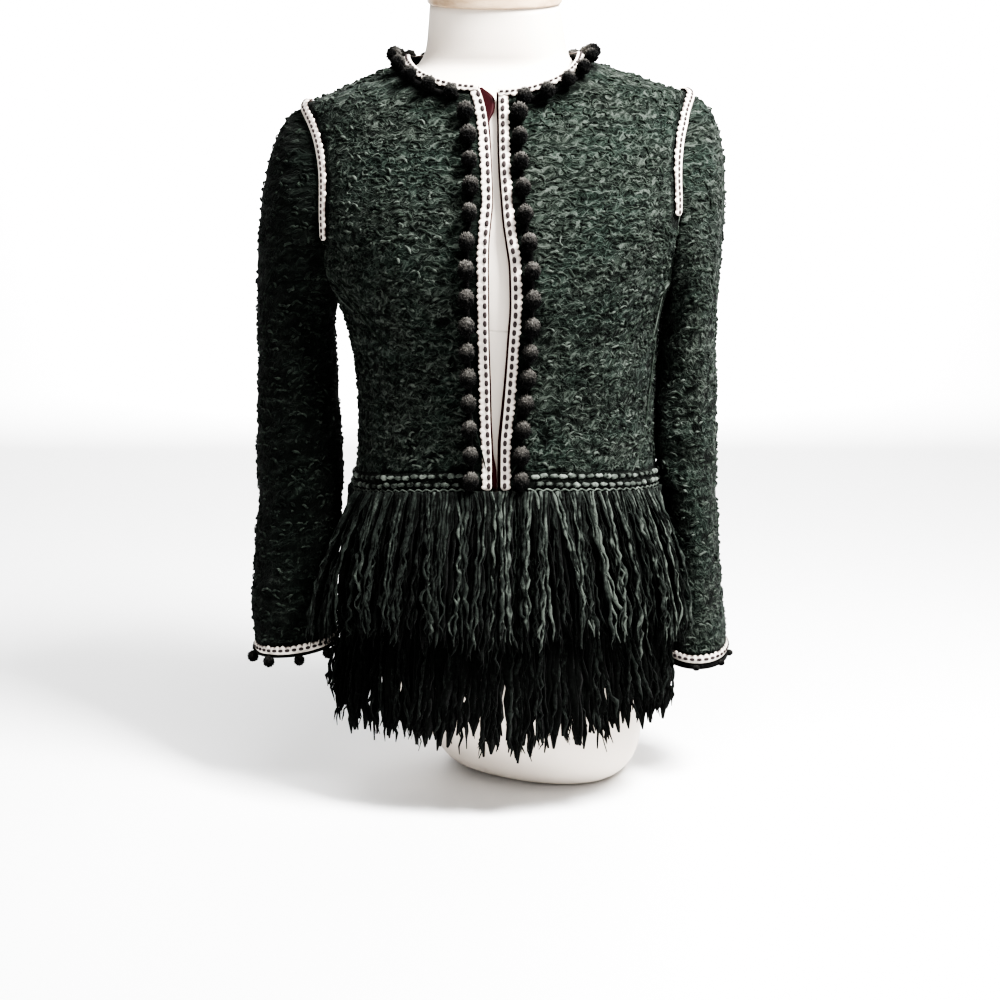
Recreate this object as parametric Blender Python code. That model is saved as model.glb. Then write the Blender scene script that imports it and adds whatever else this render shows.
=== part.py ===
"""Cropped tweed jacket on a limbless dress form.

The origin is on the form's flat underside, under the body's axis. +Z is up, the jacket faces -Y and +X is
the wearer's left.
Sizes are in millimetres and become metres when a mesh is made. The cloth follows rings round the body: each
panel is a grid of points between its own edges, laid on those rings, with a wall behind it. Every trim is
made from its panel's points, moved out.
"""

import math
import random

import bpy
import numpy as np

MM = 0.001
HALF_DEGREE = math.radians(0.5)
SMOOTH_ANGLE = 40  # degrees between faces, past which an edge looks sharp


class Table:
    """Rows with named columns. The first column is the one that the others are read against."""

    def __init__(self, names, *rows):
        self.names = names.split()
        self.rows = np.array(rows, float)

    def at(self, name, where):
        """A column at any place, on a smooth curve through the rows that never overshoots them."""
        known = self.rows[:, 0]
        values = self.rows[:, self.names.index(name)]
        step = np.diff(known)
        rise = np.diff(values) / step
        slope = np.zeros(len(known))
        same_way = rise[1:] * rise[:-1] > 0
        harmonic = 2 * rise[1:] * rise[:-1] / np.where(same_way, rise[1:] + rise[:-1], 1)
        slope[1:-1] = np.where(same_way, harmonic, 0)
        slope[0], slope[-1] = rise[0], rise[-1]
        where = np.clip(np.asarray(where, float), known[0], known[-1])
        row = np.clip(np.searchsorted(known, where) - 1, 0, len(step) - 1)
        t = (where - known[row]) / step[row]
        return (
            values[row] * (1 + 2 * t) * (1 - t) ** 2
            + values[row + 1] * t**2 * (3 - 2 * t)
            + step[row] * (slope[row] * t * (1 - t) ** 2 - slope[row + 1] * t**2 * (1 - t))
        )


# ---- cloth and seams
CLOTH = 2.2
LINING_CLOTH = 1.2
SEAM_GAP = 0.3
UNDERARM_GAP = 1.3  # where the sleeve folds right back on the body
LIFT = 0.8  # clear space under a trim
SHOULDER_LIFT = 2.3  # the same where it runs over the shoulders
ROUNDNESS = 2.2  # power of the body's rings: 2 is an ellipse, more is squarer
BODY_HALF = (150, 115)  # half width and depth of the plain ellipse that folds and flares stand square to
SEAM_FOLDED, SEAM_OPEN = -0.45, 0.15  # cosines between two pieces: from apart to one shared direction
LEAST_SQUARE = 0.6  # least cosine by which a wall's thickness is divided where its direction leans

# ---- the jacket's body: how far its outer face stands from the body's axis at each height
JACKET = Table(
    "z   right left  front back",
    (290, 143.0, 159.5, 122, 99),
    (340, 136.5, 155.5, 117, 90),
    (380, 136.0, 154.0, 118, 88),
    (420, 138.5, 154.5, 122, 93),
    (455, 146.0, 157.5, 129, 101),
    (480, 157.0, 164.0, 134, 108),
    (510, 171.0, 176.0, 136, 113),
    (545, 182.0, 188.0, 133, 116),
    (580, 187.0, 196.0, 122, 115),
    (615, 187.5, 197.0, 107, 109),
    (640, 187.0, 196.0, 94, 101),
    (655, 186.0, 192.0, 86, 94),
    (662, 184.0, 190.0, 82, 90),
    (673, 161.0, 185.0, 77, 84),
    (681, 143.5, 160.5, 72, 79),
    (690, 122.5, 133.5, 66, 73),
    (700, 98.5, 103.0, 60, 67),
    (708, 81.0, 79.0, 56, 62),
    (716, 72.0, 69.5, 50, 58),
)
WAIST_Z = {"right": 297, "left": 301, "front": 311, "back": 300}
UNDERARM_Z = 480
SHOULDER_TIP_Z = {"right": 662, "left": 673}
NECK_SIDE_Z = {"right": 708.5, "left": 711.5}
NECK_FRONT_Z = {"right": 677, "left": 673}
NECK_BACK_Z = 714
NECK_CORNER_X = {"right": -16.5, "left": 1.0}
ARMHOLE_REACH = {"front": 68, "back": 65}
ARMHOLE_EGG = 0.12  # how much narrower the armhole is at its top
BACK_RISE = 2.4  # above 1, the back's upper rows bend towards its top edge late

# x of the two front edges, which part over the bust
FRONT_EDGE = Table(
    "z   right  left",
    (300, -4.4, 3.3),
    (330, -4.3, 3.3),
    (353, -4.9, 3.5),
    (375, -5.8, 5.3),
    (408, -6.3, 8.1),
    (450, -7.4, 11.0),
    (482, -7.6, 13.0),
    (515, -7.8, 12.2),
    (538, -7.2, 9.0),
    (555, -5.6, 6.6),
    (575, -4.0, 4.8),
    (602, -4.9, 2.8),
    (627, -6.4, 1.9),
    (650, -9.0, 1.6),
    (662, -11.6, 1.4),
    (677, -16.5, 1.0),
)

# ---- grids: rows up the panels, columns across them
SIDE_ROWS = 9
ARMHOLE_ROWS = 9
PANEL_ROWS = SIDE_ROWS + ARMHOLE_ROWS
EDGE_ROWS = 13
FRONT_COLUMNS = 7
BACK_NECK_COLUMNS = 6
SLEEVE_COLUMNS = 2 * ARMHOLE_ROWS
CAP_ROWS = 5

# ---- largest folds: a soft trough from one place to another, by angle round the body and height
FOLD_SCALE = 2.4  # millimetres of cloth for each degree round the body
FOLD_ENDS = 0.15  # how far into its half wave a fold's depth starts
FOLDS = Table(
    "number angle_1 z_1 angle_2 z_2 width depth",
    (0, -178, 492, -128, 452, 15, 4.0),
    (1, -172, 468, -134, 418, 13, 2.8),
    (2, -158, 540, -122, 500, 14, 2.4),
    (3, -3, 488, -46, 446, 13, 2.6),
    (4, -8, 520, -44, 498, 11, 1.8),
    (5, 172, 486, 132, 446, 15, 3.2),
    (6, 8, 484, 50, 450, 15, 3.0),
    (7, 62, 388, 118, 382, 17, 2.6),
    (8, 74, 352, 128, 346, 14, 1.8),
)

# ---- sleeves: middle and half sizes of each ring
SLEEVES = {
    "right": Table(
        "z   middle_x middle_y half_width half_depth",
        (139, -200.5, -24, 39.5, 42),
        (158, -201.5, -22, 40.5, 43),
        (180, -203.0, -19, 41.5, 44),
        (215, -201.0, -14, 41.0, 45),
        (250, -199.0, -9, 41.0, 46),
        (285, -196.5, -4, 41.5, 47),
        (320, -195.5, 0, 42.5, 49),
        (355, -196.0, 3, 41.0, 49),
        (390, -196.3, 5, 39.5, 51),
        (425, -197.0, 7, 38.5, 53),
        (455, -197.5, 8, 37.0, 55),
    ),
    "left": Table(
        "z   middle_x middle_y half_width half_depth",
        (133, 199.0, -20, 30.5, 45),
        (154, 199.2, -18, 29.3, 46),
        (180, 197.0, -15, 28.5, 47),
        (212, 195.5, -11, 27.5, 48),
        (250, 193.9, -6, 26.4, 50),
        (285, 193.2, -2, 26.2, 51),
        (320, 191.2, 2, 26.8, 52),
        (355, 187.7, 4, 29.3, 53),
        (390, 186.9, 6, 29.6, 54),
        (425, 186.8, 7, 28.7, 55),
        (455, 188.0, 8, 27.0, 56),
    ),
}
CUFF_SLOPE = {"right": 0.11, "left": 0.06}  # rise of the cuff's plane for each millimetre of x
CUFF_DIP = {"right": 0.02, "left": 0.10}  # and of y
CUFF_REACH = 60  # how far up the sleeve the cuff's slope fades out
CAP_FULLNESS = {"right": 118, "left": 138}  # how strongly a sleeve leaves the shoulder outwards
UNDERARM_FULLNESS = 14  # the same under the arm
CAP_FORWARD = 0.55  # how much of that goes forwards and backwards
CAP_FALL = 0.32  # how much of it goes straight down at the shoulder: under the arm all of it does
CAP_DROP = 205  # and how strongly the cap ends in a straight fall
SLEEVE_FOLDS = Table(
    "number side turn z width depth",
    (0, -1, 60, 432, 14, 3.0),
    (1, -1, 250, 398, 16, 2.6),
    (2, -1, 110, 322, 15, 3.6),
    (3, -1, 20, 286, 13, 2.6),
    (4, -1, 80, 226, 14, 2.4),
    (5, -1, 300, 178, 13, 2.2),
    (6, 1, 70, 446, 13, 3.0),
    (7, 1, 290, 404, 15, 2.4),
    (8, 1, 100, 330, 14, 3.2),
    (9, 1, 40, 296, 12, 2.6),
    (10, 1, 85, 214, 14, 2.4),
    (11, 1, 250, 166, 13, 2.0),
)
FOLD_REACH = math.radians(62)  # how far a sleeve's fold runs round it
FOLD_TILT = 12  # how far a fold rises on its way round

# ---- trims: how far from its edge each lies, how wide and how thick it is
TRIM_START = 0.2  # how far inside its edge a braid starts
NEAREST = 1.0  # no two points of a shortened run lie closer than this
BRAID_WIDTH = 11.0
NECK_BRAID_WIDTH = 8.5
BRAID_THICK = 1.6
BRAID_JOINT = 0.6  # clear space where the front braid meets the neck's
CUFF_BRAID = (1.0, 10.5)
CUFF_TAPE = {"right": (-1.6, 0.6), "left": (-4.4, 0.6)}
WAIST_BRAID = (-1.0, 17.5)
WAIST_BRAID_THICK = 2.6
ARMHOLE_BRAID_ROWS = 6  # rows of the armhole that it covers, down from the shoulder
ARMHOLE_BRAID_CUT = {"right": 14, "left": 33}  # and how far short of the last one it ends
TAPE_WIDTH = 4.0
TAPE_THICK = 1.3
FRONT_TAPE = 19.0  # from the front edge to the tape's middle
NECK_TAPE = 13.4
NECK_TAPE_CUT = BRAID_WIDTH + 4.0  # how far short of the neck's corners it ends
FRONT_TAPE_CUT = (0.5, NECK_TAPE + TAPE_WIDTH + 2.0)  # and the front's short of the waist and of the neck
WAIST_BRAID_CUT = FRONT_TAPE + 5.8  # and the waist's braid short of the front edges
FRONT_POMPOM = {"count": 15, "radius": 8.0, "tall": 9.6, "end": 8.5}
NECK_POMPOM = {"count": 24, "radius": 7.2, "tall": 8.4, "end": 7.0}
CUFF_POMPOMS = 9
# the left cuff's are pressed flat; forward and down are from the lower edge of their tape
CUFF_POMPOM = {
    "right": {"radius": 5.8, "tall": 6.0, "forward": 3.9, "down": 3.0},
    "left": {"radius": 4.2, "tall": 3.2, "forward": 1.4, "down": -1.8},
}
POMPOM_SUNK = 0.9  # how far a pompom is let into its tape
POMPOM_GROWN = 0.06  # and how uneven they are in size
POMPOM_TURNED = 0.08  # and in the way that they face, in radians
SEEDS = {"neck": 5, "front_left": 8, "front_right": 6, "cuff_left": 31, "cuff_right": 37}
BALL_SIDES = 6
BALL_RING = 0.42  # where a pompom's two rings of points lie, as a share of its half height
FACING_DEPTH = 12.0
FACING_BEHIND = CLOTH + 1.2  # how far behind the cloth's outer face it starts
FACING_SHOWS = Table(
    "z   right left",
    (300, 4.4, 2.6),
    (326, 4.0, 2.6),
    (346, 1.4, 2.6),
    (380, 1.2, 2.2),
    (440, 0.8, 1.4),
    (600, 0.8, 1.2),
    (645, 1.4, 1.2),
    (656, 6.0, 1.6),
    (664, 7.0, 1.6),
    (677, 2.0, 1.2),
)

# ---- peplum and fringe
PEPLUM_LENGTH = 108
PEPLUM_ROWS = 2
PEPLUM_CURVE = 1.3  # above 1, its flare grows towards the hem
# flare in mm by angle round the body, from the front's middle (-90) round the back to it again (270)
FLARE = Table(
    "angle peplum upper lower",
    (-92, 13, 40, 20),
    (-62, 14, 42, 21),
    (-42, 11, 44, 27),
    (-27, 4, 48, 27),
    (-17, -1, 20, 12),
    (-9, -3, 3, 3),
    (14, -3, 5, 2),
    (34, 4, 16, 9),
    (60, 11, 34, 18),
    (90, 12, 37, 20),
    (120, 11, 34, 18),
    (146, 4, 16, 9),
    (166, -3, 2.5, 3),
    (188, -3, 2.5, 3),
    (196, -1, 14, 9),
    (206, 3, 58, 29),
    (222, 10, 46, 29),
    (242, 14, 43, 21),
    (272, 13, 40, 20),
)
FRINGE_STRIP = 7.0
FRINGE_THICK = 2.4
LOCK_SEGMENTS = 3
FLARE_QUICKNESS = 1.7  # above 1, a lock leaves the strip outwards and then hangs straighter
UPPER_FRINGE = {
    "flare": "upper", "locks": 56, "drop": 1.6, "length": 134, "shorter_sides": 0, "seed": 11, "lift": LIFT
}
LOWER_FRINGE = {
    "flare": "lower", "locks": 52, "drop": 96.0, "length": 136, "shorter_sides": 46, "seed": 23, "lift": 1.05
}
SIDES_ONLY = 3  # power of the cosine that keeps the shorter locks to the sides
LOCK_SHARE = 0.72  # how much of the strip the locks' roots take up
LOCK_TIP = {"half_width": 2.7, "half_thick": 1.1}
LOCK_UNEVEN = {"length": 13, "waves": 6, "sideways": 0.7}  # the hem also rises and falls in slow waves
LOCK_SWAY = {"far": 3.4, "waves": 5, "bend": 2.2}  # its reach, its waves round the body and along a lock

# ---- dress form: rings that may be off the axis and turned, each a little leaning about its middle
FORM = Table(
    "z   middle_x middle_y right left front back turn lean",
    (0, 39, 14, 76, 80, 51, 51, -30, 0),
    (3, 39, 14, 86, 90, 62, 62, -30, 0),
    (10, 39, 14, 95, 99, 73, 73, -29, 0),
    (24, 38, 14, 103, 108, 82, 82, -27, 0),
    (45, 33, 13, 111, 116, 90, 89, -23, 0),
    (80, 21, 10, 121, 127, 97, 96, -13, 0),
    (120, 8, 4, 132, 141, 102, 104, -4, 0),
    (160, 0, 0, 133, 149, 104, 106, 0, 0),
    (205, 0, 0, 131, 149, 105, 103, 0, 0),
    (250, 0, 0, 129, 146, 108, 95, 0, 0),
    (300, 0, 0, 132, 149, 113, 89, 0, 0),
    (340, 0, 0, 128, 148, 108, 81, 0, 0),
    (380, 0, 0, 127, 147, 109, 79, 0, 0),
    (420, 0, 0, 130, 148, 113, 84, 0, 0),
    (455, 0, 0, 136, 150, 120, 92, 0, 0),
    (480, 0, 0, 147, 155, 125, 99, 0, 0),
    (510, 0, 0, 161, 167, 127, 104, 0, 0),
    (545, 0, 0, 173, 179, 124, 107, 0, 0),
    (580, 0, 0, 178, 187, 113, 106, 0, 0),
    (615, 0, 0, 178, 188, 98, 100, 0, 0),
    (640, 0, 0, 177, 186, 85, 92, 0, 0),
    (655, 0, 0, 171, 179, 77, 85, 0, 0),
    (664, 0, 0, 157, 171, 71, 78, 0, 0),
    (673, 0, 0, 140, 158, 66, 73, 0, 0),
    (681, 0, 0, 122, 139, 61, 69, 0, 0),
    (690, 0, 1, 101, 111, 56, 61, 0, 0.02),
    (700, 0, 1, 78, 78, 53, 49, 0, 0.06),
    (714, 0, -1, 68, 67, 53, 49, 0, 0.12),
    (735, -1, -4, 64, 64, 54, 53, 0, 0.19),
    (757, -2, -9, 61, 61, 54, 54, 0, 0.23),
)
FORM_COLUMNS = 20
FORM_PLATE = {"right": 151, "left": 156}  # its shoulders end in flat plates this far out
CAP_OVERHANG = 2.5
CAP_THICK = 13
CAP_CHAMFER = 4

COLOURS = {
    "tweed": (0.012, 0.017, 0.013),
    "burgundy": (0.10, 0.006, 0.012),
    "white": (0.62, 0.58, 0.55),
    "black": (0.008, 0.009, 0.008),
    "form": (0.80, 0.76, 0.71),
    "wood": (0.50, 0.40, 0.29),
}
ROUGHNESS = {"tweed": 0.95, "burgundy": 0.5, "white": 0.85, "black": 0.9, "form": 0.6, "wood": 0.5}


# ---------------------------------------------------------------- meshes


def clear_scene():
    for old in list(bpy.data.objects):
        bpy.data.objects.remove(old, do_unlink=True)


def material(node, colour):
    made = bpy.data.materials.new(node)
    made.use_nodes = True
    shader = made.node_tree.nodes["Principled BSDF"]
    shader.inputs["Base Color"].default_value = (*COLOURS[colour], 1)
    shader.inputs["Roughness"].default_value = ROUGHNESS[colour]
    shader.inputs["Metallic"].default_value = 0.0
    return made


def add_object(node, points, faces, colour):
    """One object from points in millimetres."""
    mesh = bpy.data.meshes.new(node)
    mesh.from_pydata((np.asarray(points, float) * MM).tolist(), [], faces)
    mesh.update()
    mesh.shade_smooth()
    mesh.set_sharp_from_angle(angle=math.radians(SMOOTH_ANGLE))
    made = bpy.data.objects.new(node, mesh)
    bpy.context.scene.collection.objects.link(made)
    made.data.materials.append(material(node, colour))
    return made


def unit(vectors):
    vectors = np.asarray(vectors, float)
    return vectors / np.maximum(np.linalg.norm(vectors, axis=-1, keepdims=True), 1e-9)


def wall_faces(rows, columns, closed):
    """Faces of a wall between two grids of points, the outer grid's first. A closed wall goes all round."""
    count = rows * columns
    spans = columns if closed else columns - 1
    faces = []
    for r in range(rows - 1):
        for c in range(spans):
            a, b = r * columns + c, r * columns + (c + 1) % columns
            d, e = a + columns, b + columns
            faces += [(a, b, e, d), (count + a, count + d, count + e, count + b)]
    for c in range(spans):
        a, b = c, (c + 1) % columns
        d, e = (rows - 1) * columns + a, (rows - 1) * columns + b
        faces += [(a, count + a, count + b, b), (d, e, count + e, count + d)]
    if not closed:
        for r in range(rows - 1):
            a, b = r * columns, (r + 1) * columns
            d, e = a + columns - 1, b + columns - 1
            faces += [(a, b, count + b, count + a), (d, count + d, count + e, e)]
    return faces


def add_wall(node, outer, inner, colour, closed=False):
    """A wall from two grids. Its columns run anticlockwise seen from outside and above, its rows upwards."""
    rows, columns = outer.shape[:2]
    points = np.concatenate([outer.reshape(-1, 3), inner.reshape(-1, 3)])
    return add_object(node, points, wall_faces(rows, columns, closed), colour)


def grid_normals(grid, closed=False):
    """The way each point of a grid faces, from its neighbours."""
    if closed:
        across = np.roll(grid, -1, 1) - np.roll(grid, 1, 1)
    else:
        across = np.gradient(grid, axis=1)
    return unit(np.cross(across, np.gradient(grid, axis=0)))


# ---------------------------------------------------------------- the body's rings


def ring(angle, right, left, front, back):
    """A point of a ring: an ellipse, a little squared, of four different half sizes."""
    c, s = np.cos(angle), np.sin(angle)
    x = np.where(c < 0, right, left) * np.sign(c) * np.abs(c) ** (2 / ROUNDNESS)
    y = np.where(s < 0, front, back) * np.sign(s) * np.abs(s) ** (2 / ROUNDNESS)
    return x, y


def outwards_at(x, y):
    """The level direction out of the body: square to a plain ellipse through this place."""
    return unit(np.stack([x / BODY_HALF[0] ** 2, y / BODY_HALF[1] ** 2, 0 * x], -1))


def fold_depth(angle, z):
    """How far the largest folds draw the cloth in: each a trough with soft ends."""
    turned = np.degrees(angle)
    deep = np.zeros_like(turned)
    for _, angle_1, z_1, angle_2, z_2, width, depth in FOLDS.rows:
        along = np.array([(angle_2 - angle_1) * FOLD_SCALE, z_2 - z_1])
        length = np.hypot(*along)
        from_start = np.stack([(turned - angle_1) * FOLD_SCALE, z - z_1])
        share = np.tensordot(along, from_start, 1) / length**2
        off = (along[0] * from_start[1] - along[1] * from_start[0]) / length
        inside = np.clip(share, 0, 1)
        ends = np.exp(-(((share - inside) * length / width) ** 2))
        wave = np.sin(np.pi * (FOLD_ENDS + (1 - 2 * FOLD_ENDS) * inside))
        deep += depth * np.exp(-((off / width) ** 2)) * ends * wave
    return deep


def jacket(angle, z):
    """The outer face at an angle round the body, 0 at the wearer's left and -90 in front, and a height."""
    angle, z = np.broadcast_arrays(np.asarray(angle, float), np.asarray(z, float))
    x, y = ring(angle, *(JACKET.at(side, z) for side in JACKET.names[1:]))
    deep = fold_depth(angle, z)[..., None]
    return np.stack([x, y, z], -1) - outwards_at(x, y) * deep


def angle_at_x(x, z):
    """Where a front edge or neckline at this x lies, as an angle: below 0 in front of the body."""
    half = JACKET.at("right", z) if x < 0 else JACKET.at("left", z)
    c = np.sign(x) * min(abs(x) / half, 1) ** (ROUNDNESS / 2)
    return -math.acos(c)


def armhole_place(side, turn):
    """Angle and height of the armhole's edge. Turn is 0 at the shoulder, 90 in front, 180 under the arm."""
    top = SHOULDER_TIP_Z[side]
    middle, half = (top + UNDERARM_Z) / 2, (top - UNDERARM_Z) / 2
    z = middle + half * math.cos(turn)
    face = "front" if turn <= math.pi + HALF_DEGREE else "back"
    y = ARMHOLE_REACH[face] * abs(math.sin(turn)) * (1 - ARMHOLE_EGG * math.cos(turn))
    from_side = math.asin(min(y / float(JACKET.at(face, z)), 1) ** (ROUNDNESS / 2))
    if side == "left":
        return (-from_side if face == "front" else from_side), z
    return (-math.pi + from_side if face == "front" else math.pi - from_side), z


def waist_z(angle):
    """Height of the waist seam, which rises a little over the front."""
    toward_middle = np.sin(angle) ** 2
    sides = np.where(np.cos(angle) < 0, WAIST_Z["right"], WAIST_Z["left"])
    middles = np.where(np.sin(angle) < 0, WAIST_Z["front"], WAIST_Z["back"])
    return sides * (1 - toward_middle) + middles * toward_middle


# ---------------------------------------------------------------- panels


def front_places(side):
    """Angle and height of each point of a front, from the centre edge (column 0) to the side."""
    sign = 1 if side == "left" else -1
    side_angle = 0.0 if side == "left" else -math.pi
    corner_x = NECK_CORNER_X[side]
    inner = []
    foot = float(waist_z(-math.pi / 2))
    for z in np.linspace(foot, NECK_FRONT_Z[side], EDGE_ROWS + 1):
        inner.append((angle_at_x(float(FRONT_EDGE.at(side, z)), z), z))
    neck_rows = PANEL_ROWS - EDGE_ROWS
    side_x = sign * float(JACKET.at(side, NECK_SIDE_Z[side]))
    for row in range(1, neck_rows):
        turn = math.pi / 2 * row / neck_rows
        x = corner_x + (side_x - corner_x) * math.sin(turn)
        z = NECK_FRONT_Z[side] + (NECK_SIDE_Z[side] - NECK_FRONT_Z[side]) * (1 - math.cos(turn))
        inner.append((angle_at_x(x, z), z))
    inner.append((side_angle, NECK_SIDE_Z[side]))
    outer = side_seam(side, side_angle)
    for row in range(1, ARMHOLE_ROWS + 1):
        outer.append(armhole_place(side, math.pi * (1 - row / ARMHOLE_ROWS)))
    return fill_rows(np.array(inner), np.array(outer), np.linspace(0, 1, FRONT_COLUMNS + 1))


def side_seam(side, angle):
    heights = np.linspace(float(waist_z(angle)), UNDERARM_Z, SIDE_ROWS + 1)
    return [(angle, z) for z in heights]


def fill_rows(start, end, shares):
    """Places between two edges, straight across in angle and height, with row 0 on the waist seam."""
    rows = start[:, None, :] + (end - start)[:, None, :] * shares[None, :, None]
    off = waist_z(rows[0, :, 0]) - rows[0, :, 1]
    fade = (1 - np.linspace(0, 1, len(start))) ** 2
    rows[:, :, 1] += fade[:, None] * off[None, :]
    return rows


def back_places():
    """Angle and height of each point of the back, from the left side seam (column 0) to the right one."""
    left, right = side_seam("left", 0.0), side_seam("right", math.pi)
    for row in range(1, ARMHOLE_ROWS + 1):
        turn = math.pi * (1 + row / ARMHOLE_ROWS)
        left.append(armhole_place("left", turn))
        right.append(armhole_place("right", turn))
    left, right = np.array(left), np.array(right)
    shoulder = FRONT_COLUMNS
    shares = np.linspace(0, 1, 2 * shoulder + BACK_NECK_COLUMNS + 1)
    rows = fill_rows(left, right, shares)
    top = back_top_places()
    risen = np.linspace(0, 1, PANEL_ROWS + 1) ** BACK_RISE
    return rows + risen[:, None, None] * (top - rows[-1])[None]


def back_top_places():
    """The back's top edge: left shoulder seam, back neckline, right shoulder seam."""
    places = []
    shares = np.linspace(0, 1, FRONT_COLUMNS + 1)
    for share in shares:
        places.append((0.0, SHOULDER_TIP_Z["left"] + (NECK_SIDE_Z["left"] - SHOULDER_TIP_Z["left"]) * share))
    for column in range(1, BACK_NECK_COLUMNS):
        turn = math.pi * column / BACK_NECK_COLUMNS
        half = NECK_SIDE_Z["left"] if turn < math.pi / 2 else NECK_SIDE_Z["right"]
        z = half + (NECK_BACK_Z - half) * math.sin(turn)
        reach = JACKET.at("left" if turn < math.pi / 2 else "right", NECK_SIDE_Z["left"])
        x = float(reach) * math.cos(turn)
        places.append((-angle_at_x(x, z), z))
    for share in shares[::-1]:
        z = SHOULDER_TIP_Z["right"] + (NECK_SIDE_Z["right"] - SHOULDER_TIP_Z["right"]) * share
        places.append((math.pi, z))
    return np.array(places)


def sleeve_grid(side, armhole):
    """A sleeve's outer face, cuff first: straight rings, then the cap that runs up into the armhole."""
    sign = 1 if side == "left" else -1
    table = SLEEVES[side]
    turns = 2 * np.pi * np.arange(SLEEVE_COLUMNS) / SLEEVE_COLUMNS
    rows = []
    for z in table.rows[:, 0]:
        rows.append(sleeve_ring(side, turns, float(z)))
    biceps = rows[-1]
    outwards = np.stack([np.full(SLEEVE_COLUMNS, sign * 1.0), -CAP_FORWARD * np.sin(turns), 0 * turns], -1)
    under_arm = 0.5 - 0.5 * np.cos(turns)
    start = outwards * (CAP_FULLNESS[side] * (1 - under_arm) + UNDERARM_FULLNESS)[:, None]
    start[:, 2] = -CAP_FULLNESS[side] * (CAP_FALL + (1 - CAP_FALL) * under_arm)
    reach = np.linalg.norm(armhole - biceps, axis=1) / (SHOULDER_TIP_Z[side] - UNDERARM_Z)
    start *= np.minimum(reach, 1)[:, None]
    end = np.zeros_like(start)
    end[:, 2] = -CAP_DROP * np.minimum(reach, 1)
    for row in range(CAP_ROWS - 1, -1, -1):
        t = row / CAP_ROWS
        rows.append(
            armhole * (1 + 2 * t) * (1 - t) ** 2
            + biceps * t**2 * (3 - 2 * t)
            + start * t * (1 - t) ** 2
            - end * t**2 * (1 - t)
        )
    return np.array(rows)


def sleeve_ring(side, turns, z):
    """One ring of a sleeve with its folds. Turn 0 is the outer side, 90 the front."""
    sign = 1 if side == "left" else -1
    table = SLEEVES[side]
    middle_x, middle_y = float(table.at("middle_x", z)), float(table.at("middle_y", z))
    half_width, half_depth = float(table.at("half_width", z)), float(table.at("half_depth", z))
    drawn = np.zeros_like(turns)
    for _, which, turn, fold_z, width, depth in SLEEVE_FOLDS.rows:
        if which == sign:
            around = (turns - math.radians(turn) + np.pi) % (2 * np.pi) - np.pi
            tilted = fold_z + FOLD_TILT * np.sin(around)
            drawn += depth * np.exp(-(((z - tilted) / width) ** 2) - (around / FOLD_REACH) ** 2)
    x = middle_x + sign * (half_width - drawn) * np.cos(turns)
    y = middle_y - (half_depth - drawn) * np.sin(turns)
    low = table.rows[0, 0]
    near_cuff = np.clip(1 - (z - low) / CUFF_REACH, 0, 1)
    tilt = CUFF_SLOPE[side] * (x - middle_x) + CUFF_DIP[side] * (y - middle_y)
    return np.stack([x, y, z + near_cuff * tilt], -1)


def shared(first, second):
    """One direction for both sides of a seam, unless the two pieces fold right back on each other there."""
    facing = np.sum(first * second, -1, keepdims=True)
    both = unit(first + second)
    part = np.clip((facing - SEAM_FOLDED) / (SEAM_OPEN - SEAM_FOLDED), 0, 1)
    return unit(first * (1 - part) + both * part), unit(second * (1 - part) + both * part)


def behind(outer, normals, own, thick):
    """The wall's inner grid. It lies a little further in where a direction leans from the piece's own."""
    square = np.clip(np.sum(normals * own, -1, keepdims=True), LEAST_SQUARE, 1)
    return outer - normals * thick / square


def level(directions):
    """The same directions without their rise, so that two walls meet squarely at the waist seam."""
    return unit(directions * np.array([1, 1, 0]))


def draw_back(grid, edge, toward, gap):
    """Moves one edge of a grid towards its neighbour, to leave half of a seam's gap."""
    grid[edge] += unit(grid[toward] - grid[edge]) * gap


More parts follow.
